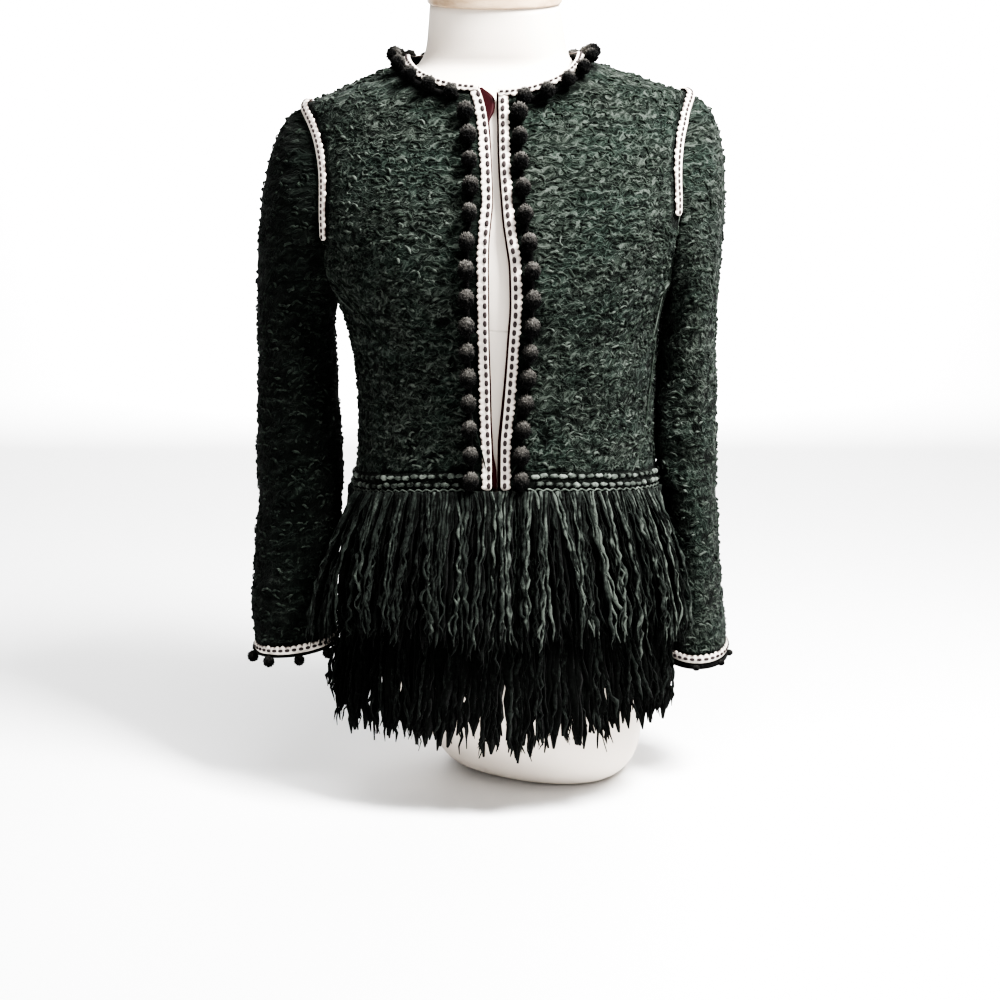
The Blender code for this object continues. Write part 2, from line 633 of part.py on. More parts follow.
def make_cloth():
    """All tweed panels. Returns the panels' places and the sleeves' grids, which the trims follow."""
    places = {"left": front_places("left"), "right": front_places("right"), "back": back_places()}
    outer = {name: jacket(place[..., 0], place[..., 1]) for name, place in places.items()}
    outer["right"] = outer["right"][:, ::-1]
    normals = {name: grid_normals(grid) for name, grid in outer.items()}
    own = {name: field.copy() for name, field in normals.items()}
    span, top = FRONT_COLUMNS, PANEL_ROWS
    meet = (
        ("left", np.s_[: SIDE_ROWS + 1, span], "back", np.s_[: SIDE_ROWS + 1, 0]),
        ("right", np.s_[: SIDE_ROWS + 1, 0], "back", np.s_[: SIDE_ROWS + 1, -1]),
        ("left", np.s_[top, ::-1], "back", np.s_[top, : span + 1]),
        ("right", np.s_[top, ::-1], "back", np.s_[top, -span - 1 :]),
    )
    for first, at_first, second, at_second in meet:
        one, two = shared(normals[first][at_first], normals[second][at_second])
        normals[first][at_first], normals[second][at_second] = one, two
    sleeves = {}
    for side in ("left", "right"):
        front_edge = np.s_[SIDE_ROWS:, span] if side == "left" else np.s_[SIDE_ROWS:, 0]
        back_edge = np.s_[SIDE_ROWS:, 0] if side == "left" else np.s_[SIDE_ROWS:, -1]
        front_loop = outer[side][front_edge][::-1]
        back_loop = outer["back"][back_edge]
        loop = np.concatenate([front_loop, back_loop[1:-1]])
        facing = np.concatenate([normals[side][front_edge][::-1], normals["back"][back_edge][1:-1]])
        grid = sleeve_grid(side, loop)
        field = grid_normals(grid, closed=True)
        if side == "left":
            field = -field
        plain = field.copy()
        body, arm = shared(facing, field[-1])
        field[-1] = arm
        half = ARMHOLE_ROWS
        normals[side][front_edge] = body[: half + 1][::-1]
        normals["back"][back_edge][1:-1] = body[half + 1 :]
        normals["back"][back_edge][0], normals["back"][back_edge][-1] = body[half], body[0]
        sleeves[side] = (grid, field, plain)
    for field in normals.values():
        field[0] = level(field[0])
    inner = {name: behind(outer[name], normals[name], own[name], CLOTH) for name in outer}
    for name in outer:
        for grid in (outer[name], inner[name]):
            for edge, toward in ((np.s_[0], np.s_[1]), (np.s_[-1], np.s_[-2])):
                draw_back(grid, edge, toward, SEAM_GAP / 2)
            for edge, toward in ((np.s_[:, 0], np.s_[:, 1]), (np.s_[:, -1], np.s_[:, -2])):
                draw_back(grid, edge, toward, SEAM_GAP / 2)
        node = "back" if name == "back" else f"front_{name}"
        add_wall(node, outer[name], inner[name], "tweed")
    turns = 2 * np.pi * np.arange(SLEEVE_COLUMNS) / SLEEVE_COLUMNS
    outwards = SEAM_GAP + (UNDERARM_GAP - SEAM_GAP) * (0.5 - 0.5 * np.cos(turns))
    for side, (grid, field, plain) in sleeves.items():
        sign = 1 if side == "left" else -1
        within = behind(grid, field, plain, CLOTH)
        for cloth in (grid, within):
            draw_back(cloth, np.s_[-1], np.s_[-2], SEAM_GAP / 2)
            cloth[-1, :, 0] += sign * outwards
        if side == "left":
            grid, within, field = grid[:, ::-1], within[:, ::-1], field[:, ::-1]
        add_wall(f"sleeve_{side}", grid, within, "tweed", closed=True)
        sleeves[side] = (grid, field)
    return places, sleeves


# ---------------------------------------------------------------- trims


def surface_at(angle, z):
    """Point, the two directions along the surface, and the way it faces."""
    turn, rise = 1e-3, 0.2
    point = jacket(angle, z)
    by_angle = (jacket(angle + turn, z) - jacket(angle - turn, z)) / (2 * turn)
    by_height = (jacket(angle, z + rise) - jacket(angle, z - rise)) / (2 * rise)
    return point, by_angle, by_height, unit(np.cross(by_angle, by_height))


def walk(places, direction, distance, steps=6):
    """New places, this far along the surface from the old ones."""
    angle, z = np.array(places, float).T
    distance = np.broadcast_to(distance, angle.shape)
    for _ in range(steps):
        _, by_angle, by_height, normal = surface_at(angle, z)
        flat = direction - normal * np.sum(direction * normal, -1, keepdims=True)
        move = unit(flat) * (distance / steps)[:, None]
        aa, ah = np.sum(by_angle**2, -1), np.sum(by_angle * by_height, -1)
        hh = np.sum(by_height**2, -1)
        ma, mh = np.sum(by_angle * move, -1), np.sum(by_height * move, -1)
        whole = aa * hh - ah**2
        angle = angle + (ma * hh - mh * ah) / whole
        z = z + (mh * aa - ma * ah) / whole
    return np.stack([angle, z], -1)


def inwards(places, sign):
    """The way from an edge onto its panel, square to the edge."""
    point, _, _, normal = surface_at(places[:, 0], places[:, 1])
    return sign * unit(np.cross(np.gradient(point, axis=0), normal))


def shortened(places, at_start, at_end):
    """A run of places with a length of cloth cut off at each end."""
    points = jacket(places[:, 0], places[:, 1])
    run = np.concatenate([[0], np.cumsum(np.linalg.norm(np.diff(points, axis=0), axis=1))])
    kept = run[(run > at_start + NEAREST) & (run < run[-1] - at_end - NEAREST)]
    stops = np.concatenate([[at_start], kept, [run[-1] - at_end]])
    return np.stack([np.interp(stops, run, places[:, k]) for k in (0, 1)], -1)


def finer(places):
    """The same run of places with one more between each two."""
    halves = (places[1:] + places[:-1]) / 2
    both = np.empty((len(places) + len(halves), 2))
    both[::2], both[1::2] = places, halves
    return both


def trim(node, places, sign, near, far, thick, colour, lift=LIFT):
    """A strip on the body: from one distance off the edge to another, above it or, below 0, behind it."""
    toward = inwards(places, sign)
    grids = []
    for height in (lift + thick, lift):
        rows = []
        for distance in (near, far):
            moved = walk(places, toward, distance)
            point, _, _, normal = surface_at(moved[:, 0], moved[:, 1])
            rows.append(point + normal * height)
        grids.append(np.array(rows))
    outer, inner = grids
    middle = len(places) // 2
    along = outer[0, middle] - outer[0, middle - 1]
    across = outer[1, middle] - outer[0, middle]
    if np.dot(np.cross(along, across), outer[0, middle] - inner[0, middle]) < 0:
        outer, inner = outer[:, ::-1], inner[:, ::-1]
    return add_wall(node, outer, inner, colour)


def ball(middle, out, up, size, grown, turn):
    """Points of one pompom and its faces: a ring above its middle, one below, and two tips."""
    side = unit(np.cross(up, out))
    radius, tall = size["radius"] * grown, size["tall"] * grown
    points = [middle + up * tall]
    for high in (BALL_RING, -BALL_RING):
        for k in range(BALL_SIDES):
            around = turn + 2 * math.pi * k / BALL_SIDES
            sideways = side * math.cos(around) - out * math.sin(around)
            points.append(middle + up * tall * high - sideways * radius)
    points.append(middle - up * tall)
    last = len(points) - 1
    faces = []
    for k in range(BALL_SIDES):
        n = (k + 1) % BALL_SIDES
        upper, lower = 1, 1 + BALL_SIDES
        faces.append((0, upper + k, upper + n))
        faces.append((upper + k, lower + k, lower + n, upper + n))
        faces.append((last, lower + n, lower + k))
    return points, faces


def join_balls(tape, middles, outs, ups, size, seed):
    """Fuses a row of pompoms to their tape."""
    chance = random.Random(seed)
    points, faces = [], []
    for middle, out, up in zip(middles, outs, ups):
        grown = 1 + chance.uniform(-POMPOM_GROWN, POMPOM_GROWN)
        to_tape = math.pi / BALL_SIDES + chance.uniform(-POMPOM_TURNED, POMPOM_TURNED)
        new, sides = ball(middle, out, up, size, grown, to_tape)
        faces += [tuple(len(points) + k for k in face) for face in sides]
        points += list(new)
    balls = add_object(tape.name + "_balls", points, faces, "black")
    balls.hide_render = True
    balls.display_type = "WIRE"
    join = tape.modifiers.new("join", "BOOLEAN")
    join.operation = "UNION"
    join.solver = "EXACT"
    join.object = balls


def pompom_tape(place, edge, sign, middle, size, lift=LIFT):
    """A tape on the body with its pompoms, along an edge and this far from it."""
    half = TAPE_WIDTH / 2
    tape = trim(f"pompoms_{place}", edge, sign, middle - half, middle + half, TAPE_THICK, "black", lift)
    line = walk(edge, inwards(edge, sign), middle)
    points = jacket(line[:, 0], line[:, 1])
    run = np.concatenate([[0], np.cumsum(np.linalg.norm(np.diff(points, axis=0), axis=1))])
    stops = np.linspace(size["end"], run[-1] - size["end"], size["count"])
    angle, z = (np.interp(stops, run, line[:, k]) for k in (0, 1))
    point, _, _, normal = surface_at(angle, z)
    chord = np.stack([np.interp(stops, run, points[:, k]) for k in range(3)], -1)
    middles = chord + normal * (lift + TAPE_THICK - POMPOM_SUNK + size["radius"])
    ups = unit(np.array([0, 0, 1.0]) - normal * normal[:, 2:])
    join_balls(tape, middles, normal, ups, size, SEEDS[place])


def neckline_places(places):
    """The neck's edge from the left front's corner round the back to the right front's corner."""
    left = places["left"][EDGE_ROWS:, 0]
    span = FRONT_COLUMNS
    back = places["back"][-1, span + 1 : -span - 1]
    right = places["right"][EDGE_ROWS:, 0][::-1] + np.array([2 * math.pi, 0])
    return np.concatenate([left, back, right])


def armhole_places(places, side):
    """The armhole's edge from in front, over the shoulder, to behind, as far as its braid goes."""
    front = places[side][-ARMHOLE_BRAID_ROWS - 1 :, -1]
    column = 0 if side == "left" else -1
    back = places["back"][-ARMHOLE_BRAID_ROWS - 1 : -1, column][::-1]
    if side == "right":
        front = front + np.array([2 * math.pi, 0])
    return np.concatenate([front, back])


def waist_places(places):
    """The waist seam from the left front's edge round the back to the right front's edge."""
    right = places["right"][0, :, 0][::-1] + 2 * math.pi
    angles = np.concatenate([places["left"][0, :, 0], places["back"][0, 1:-1, 0], right])
    return np.stack([angles, waist_z(angles)], -1)


def make_trims(places):
    neck = finer(neckline_places(places))
    trim("braid_neck", neck, 1, TRIM_START, NECK_BRAID_WIDTH, BRAID_THICK, "white", SHOULDER_LIFT)
    neck_tape = shortened(neck, NECK_TAPE_CUT, NECK_TAPE_CUT)
    pompom_tape("neck", neck_tape, 1, NECK_TAPE, NECK_POMPOM, SHOULDER_LIFT)
    for side, sign in (("left", 1), ("right", -1)):
        edge = places[side][: EDGE_ROWS + 1, 0]
        braid = shortened(edge, 0, NECK_BRAID_WIDTH + BRAID_JOINT)
        trim(f"braid_front_{side}", braid, sign, TRIM_START, BRAID_WIDTH, BRAID_THICK, "white")
        pompom_tape(f"front_{side}", shortened(edge, *FRONT_TAPE_CUT), sign, FRONT_TAPE, FRONT_POMPOM)
        shows = FACING_SHOWS.at(side, edge[:, 1])
        inside = -FACING_BEHIND - LINING_CLOTH
        trim(f"facing_{side}", edge, sign, -shows, FACING_DEPTH, LINING_CLOTH, "burgundy", inside)
        cut = ARMHOLE_BRAID_CUT[side]
        armhole = finer(shortened(armhole_places(places, side), cut, cut))
        over = (TRIM_START, BRAID_WIDTH, BRAID_THICK, "white", SHOULDER_LIFT)
        trim(f"braid_armhole_{side}", armhole, -sign, *over)
    waist = shortened(waist_places(places), WAIST_BRAID_CUT, WAIST_BRAID_CUT)
    trim("braid_waist", waist, -1, *WAIST_BRAID, WAIST_BRAID_THICK, "black")


def make_cuffs(sleeves):
    for side, (grid, field) in sleeves.items():
        up = grid[1] - grid[0]
        reach = np.linalg.norm(up, axis=1, keepdims=True)

        def band(node, near, far, thick, colour):
            rows = [grid[0] + up * distance / reach for distance in (near, far)]
            outer = np.array([row + field[0] * (SEAM_GAP + thick) for row in rows])
            inner = np.array([row + field[0] * SEAM_GAP for row in rows])
            return add_wall(node, outer, inner, colour, closed=True)

        band(f"braid_cuff_{side}", *CUFF_BRAID, BRAID_THICK, "white")
        tape = band(f"pompoms_cuff_{side}", *CUFF_TAPE[side], TAPE_THICK, "black")
        hem = grid[0] + up * CUFF_TAPE[side][0] / reach + field[0] * (SEAM_GAP + TAPE_THICK / 2)
        loop = np.concatenate([hem, hem[:1]])
        run = np.concatenate([[0], np.cumsum(np.linalg.norm(np.diff(loop, axis=0), axis=1))])
        stops = run[-1] * (np.arange(CUFF_POMPOMS) + 0.5) / CUFF_POMPOMS
        facing = np.concatenate([field[0], field[0][:1]])
        at = [np.interp(stops, run, loop[:, k]) for k in range(3)]
        out = level(np.stack([np.interp(stops, run, facing[:, k]) for k in range(3)], -1))
        upright = np.tile([0, 0, 1.0], (len(stops), 1))
        size = CUFF_POMPOM[side]
        middles = np.stack(at, -1) + out * size["forward"] - upright * size["down"]
        join_balls(tape, middles, out, upright, size, SEEDS[f"cuff_{side}"])


# ---------------------------------------------------------------- peplum and fringe


def body_outwards(angle):
    """The level direction out of the body at the waist, at an angle round it."""
    return outwards_at(*ring(angle, *(JACKET.at(side, WAIST_Z["back"]) for side in JACKET.names[1:])))


def make_peplum(places):
    """The wrap of cloth under the waist seam. Returns its outer grid, directions and angles, hem first."""
    waist = waist_places(places)
    top = jacket(waist[:, 0], waist[:, 1])
    out = body_outwards(waist[:, 0])
    flare = FLARE.at("peplum", np.degrees(waist[:, 0]))
    rows = []
    for share in np.linspace(1, 0, PEPLUM_ROWS + 1):
        fall = np.array([0, 0, -PEPLUM_LENGTH * share])
        rows.append(top + out * (flare * share**PEPLUM_CURVE)[:, None] + fall)
    grid = np.array(rows)
    normals = grid_normals(grid)
    normals[-1] = level(normals[-1])
    inner = grid - normals * CLOTH
    for cloth in (grid, inner):
        draw_back(cloth, np.s_[-1], np.s_[-2], SEAM_GAP / 2)
    add_wall("peplum", grid, inner, "tweed")
    return grid, normals, waist[:, 0]


def on_peplum(peplum, drop, stops):
    """Points, directions and angles on the peplum at this drop from the waist, at shares of the way round."""
    grid, normals, angles = peplum
    grid, normals = grid[::-1], normals[::-1]
    level = drop / PEPLUM_LENGTH * PEPLUM_ROWS
    row = min(int(level), PEPLUM_ROWS - 1)
    share = level - row
    line = grid[row] * (1 - share) + grid[row + 1] * share
    facing = normals[row] * (1 - share) + normals[row + 1] * share
    run = np.concatenate([[0], np.cumsum(np.linalg.norm(np.diff(line, axis=0), axis=1))])
    at = np.asarray(stops) * run[-1]
    point = np.stack([np.interp(at, run, line[:, k]) for k in range(3)], -1)
    normal = unit(np.stack([np.interp(at, run, facing[:, k]) for k in range(3)], -1))
    return point, normal, np.interp(at, run, angles)


def make_fringe(node, spec, peplum):
    """A narrow strip on the peplum with locks hanging from it, each fused to the strip by its root alone."""
    chance = random.Random(spec["seed"])
    count = 2 * spec["locks"]
    whole = np.arange(spec["locks"])[:, None] + 0.5 + np.array([-0.5, 0.5]) * LOCK_SHARE
    stops = whole.reshape(-1) / spec["locks"]
    rows = {}
    for name, drop in (("low", spec["drop"] + FRINGE_STRIP), ("high", spec["drop"])):
        point, normal, angle = on_peplum(peplum, drop, stops)
        rows[name] = (point + normal * (spec["lift"] + FRINGE_THICK), point + normal * spec["lift"])
    outer = np.array([rows["low"][0], rows["high"][0]])
    inner = np.array([rows["low"][1], rows["high"][1]])
    points = list(np.concatenate([outer.reshape(-1, 3), inner.reshape(-1, 3)]))
    roots = {(a, 2 * count + a, 2 * count + a + 1, a + 1) for a in range(0, count, 2)}
    faces = [face for face in wall_faces(2, count, False) if face not in roots]
    for root in sorted(roots):
        corners = np.array([points[k] for k in root])
        start = corners.mean(0)
        out = body_outwards(angle[root[0]])
        side = unit(np.cross([0, 0, 1.0], out))
        turned = float(angle[root[0]])
        reach = float(FLARE.at(spec["flare"], math.degrees(turned)))
        slow = 0.5 * math.sin(turned * LOCK_UNEVEN["waves"] + spec["seed"])
        length = spec["length"] + LOCK_UNEVEN["length"] * (slow + chance.uniform(-0.5, 0.5))
        length -= spec["shorter_sides"] * abs(math.cos(turned)) ** SIDES_ONLY
        root_half = np.linalg.norm(corners[3] - corners[0]) / 2
        phase = turned * LOCK_SWAY["waves"] + spec["seed"]
        loop = list(root)
        for segment in range(1, LOCK_SEGMENTS + 1):
            share = segment / LOCK_SEGMENTS
            swing = LOCK_SWAY["far"] * math.sin(phase + LOCK_SWAY["bend"] * share)
            sway = share * (swing + LOCK_UNEVEN["sideways"] * chance.uniform(-1, 1))
            middle = start + out * (reach * (1 - (1 - share) ** FLARE_QUICKNESS)) + side * sway
            middle = middle - np.array([0, 0, length * share])
            wide = root_half + (LOCK_TIP["half_width"] - root_half) * share
            deep = FRINGE_THICK / 2 + (LOCK_TIP["half_thick"] - FRINGE_THICK / 2) * share
            first = len(points)
            points += [
                middle - side * wide + out * deep,
                middle - side * wide - out * deep,
                middle + side * wide - out * deep,
                middle + side * wide + out * deep,
            ]
            new = [first + k for k in range(4)]
            faces += [(loop[k], loop[(k + 1) % 4], new[(k + 1) % 4], new[k]) for k in range(4)]
            loop = new
        faces.append(tuple(loop))
    return add_object(node, points, faces, "black")


# ---------------------------------------------------------------- dress form


def form_ring(z):
    """One ring of the form, in its own place, turn and lean."""
    value = {name: float(FORM.at(name, z)) for name in FORM.names[1:]}
    angles = 2 * np.pi * np.arange(FORM_COLUMNS) / FORM_COLUMNS
    x, y = ring(angles, value["right"], value["left"], value["front"], value["back"])
    x = np.clip(x, -FORM_PLATE["right"], FORM_PLATE["left"])
    turn = math.radians(value["turn"])
    turned_x = value["middle_x"] + x * math.cos(turn) - y * math.sin(turn)
    turned_y = value["middle_y"] + x * math.sin(turn) + y * math.cos(turn)
    return np.stack([turned_x, turned_y, z + value["lean"] * y], -1)


def add_turned(node, rings, colour):
    """A closed solid from rings, first to last upwards, with a flat face at each end."""
    rings = np.array(rings)
    rows, columns = rings.shape[:2]
    faces = [tuple(range(columns - 1, -1, -1)), tuple((rows - 1) * columns + c for c in range(columns))]
    for r in range(rows - 1):
        for c in range(columns):
            a, b = r * columns + c, r * columns + (c + 1) % columns
            faces.append((a, b, b + columns, a + columns))
    return add_object(node, rings.reshape(-1, 3), faces, colour)


def make_form():
    add_turned("dress_form", [form_ring(float(z)) for z in FORM.rows[:, 0]], "form")
    top = form_ring(float(FORM.rows[-1, 0]))
    middle = top.mean(0)
    up = unit(np.array([0, -FORM.rows[-1, FORM.names.index("lean")], 1.0]))
    rings = []
    sections = (
        (CAP_OVERHANG - CAP_CHAMFER / 2, 0),
        (CAP_OVERHANG, CAP_CHAMFER / 2),
        (CAP_OVERHANG, CAP_THICK - CAP_CHAMFER),
        (CAP_OVERHANG - CAP_CHAMFER, CAP_THICK),
    )
    for wider, higher in sections:
        rings.append(top + unit(top - middle) * wider + up * (SEAM_GAP + higher))
    add_turned("neck_cap", rings, "wood")


# ---------------------------------------------------------------- build

clear_scene()
panel_places, sleeve_grids = make_cloth()
make_trims(panel_places)
make_cuffs(sleeve_grids)
peplum_grid = make_peplum(panel_places)
make_fringe("fringe_upper", UPPER_FRINGE, peplum_grid)
make_fringe("fringe_lower", LOWER_FRINGE, peplum_grid)
make_form()
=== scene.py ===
# %% [markdown]
# # A cropped tweed jacket on a dress form
#
# The jacket is sewn from bouclé tweed, edged with white picot braid and black pompoms, and ends in two tiers
# of yarn fringe. A limbless dress form wears it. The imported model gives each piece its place. This script
# builds the pieces again with all their detail, in millimetres, as surfaces worked out from short tables of
# sizes, and hides the plain solids that they stand for. Left and right are the wearer's, and x grows to the
# left.

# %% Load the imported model
import math

import bpy
import numpy as np
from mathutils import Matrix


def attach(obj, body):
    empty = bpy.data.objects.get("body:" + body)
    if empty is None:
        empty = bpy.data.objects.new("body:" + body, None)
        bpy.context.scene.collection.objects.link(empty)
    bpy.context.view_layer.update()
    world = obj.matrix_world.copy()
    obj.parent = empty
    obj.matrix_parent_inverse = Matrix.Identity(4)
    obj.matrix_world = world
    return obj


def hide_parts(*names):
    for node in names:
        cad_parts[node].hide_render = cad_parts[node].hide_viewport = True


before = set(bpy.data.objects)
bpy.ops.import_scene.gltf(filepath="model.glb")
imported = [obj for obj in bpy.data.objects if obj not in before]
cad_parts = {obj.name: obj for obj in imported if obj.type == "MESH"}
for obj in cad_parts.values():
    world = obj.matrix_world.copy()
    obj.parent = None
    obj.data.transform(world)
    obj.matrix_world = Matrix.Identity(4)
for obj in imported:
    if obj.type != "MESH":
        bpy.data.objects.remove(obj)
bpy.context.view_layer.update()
MM, TAU, UP = 0.001, 2 * math.pi, np.array([0, 0, 1.0])
SIGN = {"left": 1, "right": -1}
print("nodes:", sorted(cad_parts))

# %% [markdown]
# ## Camera
#
# A camera 1.6 m away with a mild tele lens keeps the proportions natural. It looks down by 10.6 degrees at
# the height of the waist, so that 1 mm on the body's axis is about a thousandth of the picture's width.

# %% Camera
LOOK_DOWN = math.radians(10.6)
DISTANCE, AIM_X, AIM_Z = 1.6, 0.003, 0.280
lens = bpy.data.cameras.new("camera")
lens.sensor_width, lens.lens = 36, 57.6
camera = bpy.data.objects.new("camera", lens)
camera.location = (AIM_X, -DISTANCE * math.cos(LOOK_DOWN), AIM_Z + DISTANCE * math.sin(LOOK_DOWN))
camera.rotation_euler = (math.pi / 2 - LOOK_DOWN, 0, 0)
bpy.context.scene.collection.objects.link(camera)
bpy.context.scene.camera = camera
print("camera at", [round(x, 3) for x in camera.location])

# %% [markdown]
# ## Shader maths as expressions
#
# Materials are graphs of nodes. Wrapping a socket in a small class that knows +, - and * lets a mask be
# written as an ordinary formula, and each operator adds its Math node behind the scenes. Colours never go
# through these, because a Math node would turn them grey: they are mixed with Mix nodes.


# %% Sockets as numbers
def operator(operation, turned=False):
    """One of the operators below, as a Math node of the material. A turned one has its number first."""
    return lambda wire, other: wire.finish.math(operation, *((other, wire) if turned else (wire, other)))


class Wire:
    """A socket's output. Arithmetic on it adds Math nodes to its material."""

    def __init__(self, finish, socket):
        self.finish, self.socket = finish, socket

    __add__ = __radd__ = operator("ADD")
    __mul__ = __rmul__ = operator("MULTIPLY")
    __sub__, __rsub__ = operator("SUBTRACT"), operator("SUBTRACT", turned=True)


class Finish:
    """A material in the making."""

    def __init__(self, name):
        self.made = bpy.data.materials.new(name)
        self.made.use_nodes = True
        self.tree = self.made.node_tree
        self.tree.nodes.clear()

    def node(self, kind, sockets=None, output=0, **settings):
        """Adds a node: its type, the values or wires of its sockets, and its settings."""
        added = self.tree.nodes.new("ShaderNode" + kind)
        for name, value in settings.items():
            setattr(added, name, value)
        for name, value in (sockets or {}).items():
            if isinstance(value, Wire):
                self.tree.links.new(value.socket, added.inputs[name])
            else:
                added.inputs[name].default_value = value
        return Wire(self, added.outputs[output]) if added.outputs else None

    def math(self, operation, *values):
        return self.node("Math", dict(enumerate(values)), operation=operation)

    def ramp(self, value, low, high):
        """0 below low, 1 above high, and a soft rise between."""
        sockets = {"Value": value, "From Min": low, "From Max": high}
        return self.node("MapRange", sockets, interpolation_type="SMOOTHSTEP")

    def mix(self, share, first, second):
        """A colour between two others, each a wire or its red, green and blue."""
        first, second = (part if isinstance(part, Wire) else (*part, 1) for part in (first, second))
        return self.node("Mix", {0: share, 6: first, 7: second}, 2, data_type="RGBA")

    def attribute(self, name, output="Fac"):
        return self.node("Attribute", output=output, attribute_name=name)

    def place(self, scale=None):
        """Object coordinates, which can be stretched: a bigger scale makes a finer pattern."""
        place = self.node("TexCoord", output="Object")
        return self.node("Mapping", {0: place, "Scale": scale}) if scale else place

    def noise(self, vector, scale, detail=2.0, rough=0.5):
        sockets = {"Vector": vector, "Scale": scale, "Detail": detail, "Roughness": rough}
        return self.node("TexNoise", sockets)

    def done(self, colour, roughness, height=None, deep=0.5, fixed=None):
        """Joins all to one shader. The height makes bumps this many millimetres deep."""
        sockets = {"Base Color": colour, "Roughness": roughness, **(fixed or {})}
        if height is not None:
            sockets["Normal"] = self.node("Bump", {"Height": height, "Distance": deep * MM})
        self.node("OutputMaterial", {"Surface": self.node("BsdfPrincipled", sockets)})
        return self.made


# %% [markdown]
# ## Floor, backdrop and light
#
# The object stands on a pale sweep, a floor that curves up into a wall. One soft lamp high on the right
# models the cloth's relief, as light from the side does on every rough weave. A wide weak lamp in front and
# the sky keep the other side readable, and two lamps tipped away from the jacket light the sweep alone.


# %% Stage
def spread(first, second, count):
    """Evenly spaced numbers, as a column."""
    return np.linspace(first, second, count)[:, None]


SWEEP_WIDE, SWEEP_FRONT, SWEEP_BACK, SWEEP_RISE, SWEEP_TOP = 9.0, -5.0, 3.2, 1.6, 7.0
PAPER, LAMPS_AIM, SKY_STRENGTH = (0.93, 0.93, 0.93, 1), 0.45, 0.30
bend = np.linspace(0, math.pi / 2, 24)
profile = np.concatenate(
    [
        [[SWEEP_FRONT, 0]],
        np.stack([SWEEP_BACK + SWEEP_RISE * np.sin(bend), SWEEP_RISE * (1 - np.cos(bend))], -1),
        [[SWEEP_BACK + SWEEP_RISE, SWEEP_TOP]],
    ]
)
sweep_points = [(side * SWEEP_WIDE, y, z) for y, z in profile for side in (-1, 1)]
sweep_faces = [(k, k + 1, k + 3, k + 2) for k in range(0, 2 * len(profile) - 2, 2)]
sweep_mesh = bpy.data.meshes.new("sweep")
sweep_mesh.from_pydata(sweep_points, [], sweep_faces)
sweep_mesh.shade_smooth()
sweep = bpy.data.objects.new("sweep", sweep_mesh)
bpy.context.scene.collection.objects.link(sweep)
paper = Finish("sweep_paper")
sweep_mesh.materials.append(paper.done(PAPER, 0.8))


def lamp(name, azimuth, elevation, distance, size, watts, tip=0):
    """A square soft light, aimed at the jacket from this side and height, or tipped up past it."""
    light = bpy.data.lights.new(name, "AREA")
    light.shape, light.size, light.energy = "SQUARE", size, watts
    made = bpy.data.objects.new(name, light)
    turn, rise = math.radians(azimuth), math.radians(elevation)
    made.location = (
        distance * math.cos(rise) * math.sin(turn),
        -distance * math.cos(rise) * math.cos(turn),
        LAMPS_AIM + distance * math.sin(rise),
    )
    made.rotation_euler = (math.pi / 2 - rise + math.radians(tip), 0, turn)
    bpy.context.scene.collection.objects.link(made)


lamp("key", 48, 50, 1.55, 0.5, 100)
lamp("front", -6, 24, 3.2, 1.6, 16.5)
lamp("backdrop", 0, 68, 3.0, 1.6, 110, 70)
lamp("wall", 180, 45, 3.0, 1.6, 480, -135)
sky = bpy.data.worlds.new("sky")
sky.use_nodes = True
sky.node_tree.nodes["Background"].inputs["Color"].default_value = (1, 1, 1, 1)
sky.node_tree.nodes["Background"].inputs["Strength"].default_value = SKY_STRENGTH
bpy.context.scene.world = sky
bpy.context.scene.view_settings.view_transform = "AgX"
bpy.context.scene.view_settings.look = "AgX - Very High Contrast"

# %% [markdown]
# ## Tables
#
# The jacket's shape is a few tables of sizes in millimetres. Each row is a height, or an angle round the
# body, and each column says how far out the cloth stands there. A table is read at any place between its
# rows, on a smooth curve that never overshoots them, so that a few measured rows give a whole smooth form.


# %% Tables of sizes
class Table:
    """Rows under named columns. Where a table is read, its first column is what the others go by."""

    def __init__(self, text):
        names, *rows = text.strip().splitlines()
        self.names = names.split()
        self.rows = np.array([row.split() for row in rows], float)

    def at(self, name, where):
        """A column anywhere: cubic pieces whose slopes are harmonic means of the rises beside each row."""
        known, values = self.rows[:, 0], self.rows[:, self.names.index(name)]
        step = np.diff(known)
        rise = np.diff(values) / step
        slope = np.zeros(len(known))
        same_way = rise[1:] * rise[:-1] > 0
        harmonic = 2 * rise[1:] * rise[:-1] / np.where(same_way, rise[1:] + rise[:-1], 1)
        slope[1:-1] = np.where(same_way, harmonic, 0)
        slope[0], slope[-1] = rise[0], rise[-1]
        where = np.clip(np.asarray(where, float), known[0], known[-1])
        row = np.clip(np.searchsorted(known, where) - 1, 0, len(step) - 1)
        t = (where - known[row]) / step[row]
        start, end = values[row] * (1 + 2 * t) * (1 - t) ** 2, values[row + 1] * t**2 * (3 - 2 * t)
        return start + end + step[row] * (slope[row] * t * (1 - t) ** 2 - slope[row + 1] * t**2 * (1 - t))


JACKET = Table(
    """
    z   right  left front back
    290 143.0 159.5   122   99
    340 136.5 155.5   117   90
    380 136.0 154.0   118   88
    420 138.5 154.5   122   93
    455 146.0 157.5   129  101
    480 157.0 164.0   134  108
    510 171.0 176.0   136  113
    545 182.0 188.0   133  116
    580 187.0 196.0   122  115
    615 187.5 197.0   107  109
    640 187.0 196.0    94  101
    655 186.0 192.0    86   94
    662 184.0 190.0    82   90
    673 161.0 185.0    77   84
    681 143.5 160.5    72   79
    690 122.5 133.5    66   73
    700  98.5 103.0    60   67
    708  81.0  79.0    56   62
    716  72.0  69.5    50   58
    """
)
WAIST_Z = {"right": 297, "left": 301, "front": 311, "back": 300}
UNDERARM_Z = 480
SHOULDER_TIP_Z = {"right": 662, "left": 673}
NECK_SIDE_Z = {"right": 708.5, "left": 711.5}
NECK_FRONT_Z = {"right": 677, "left": 673}
NECK_BACK_Z = 714
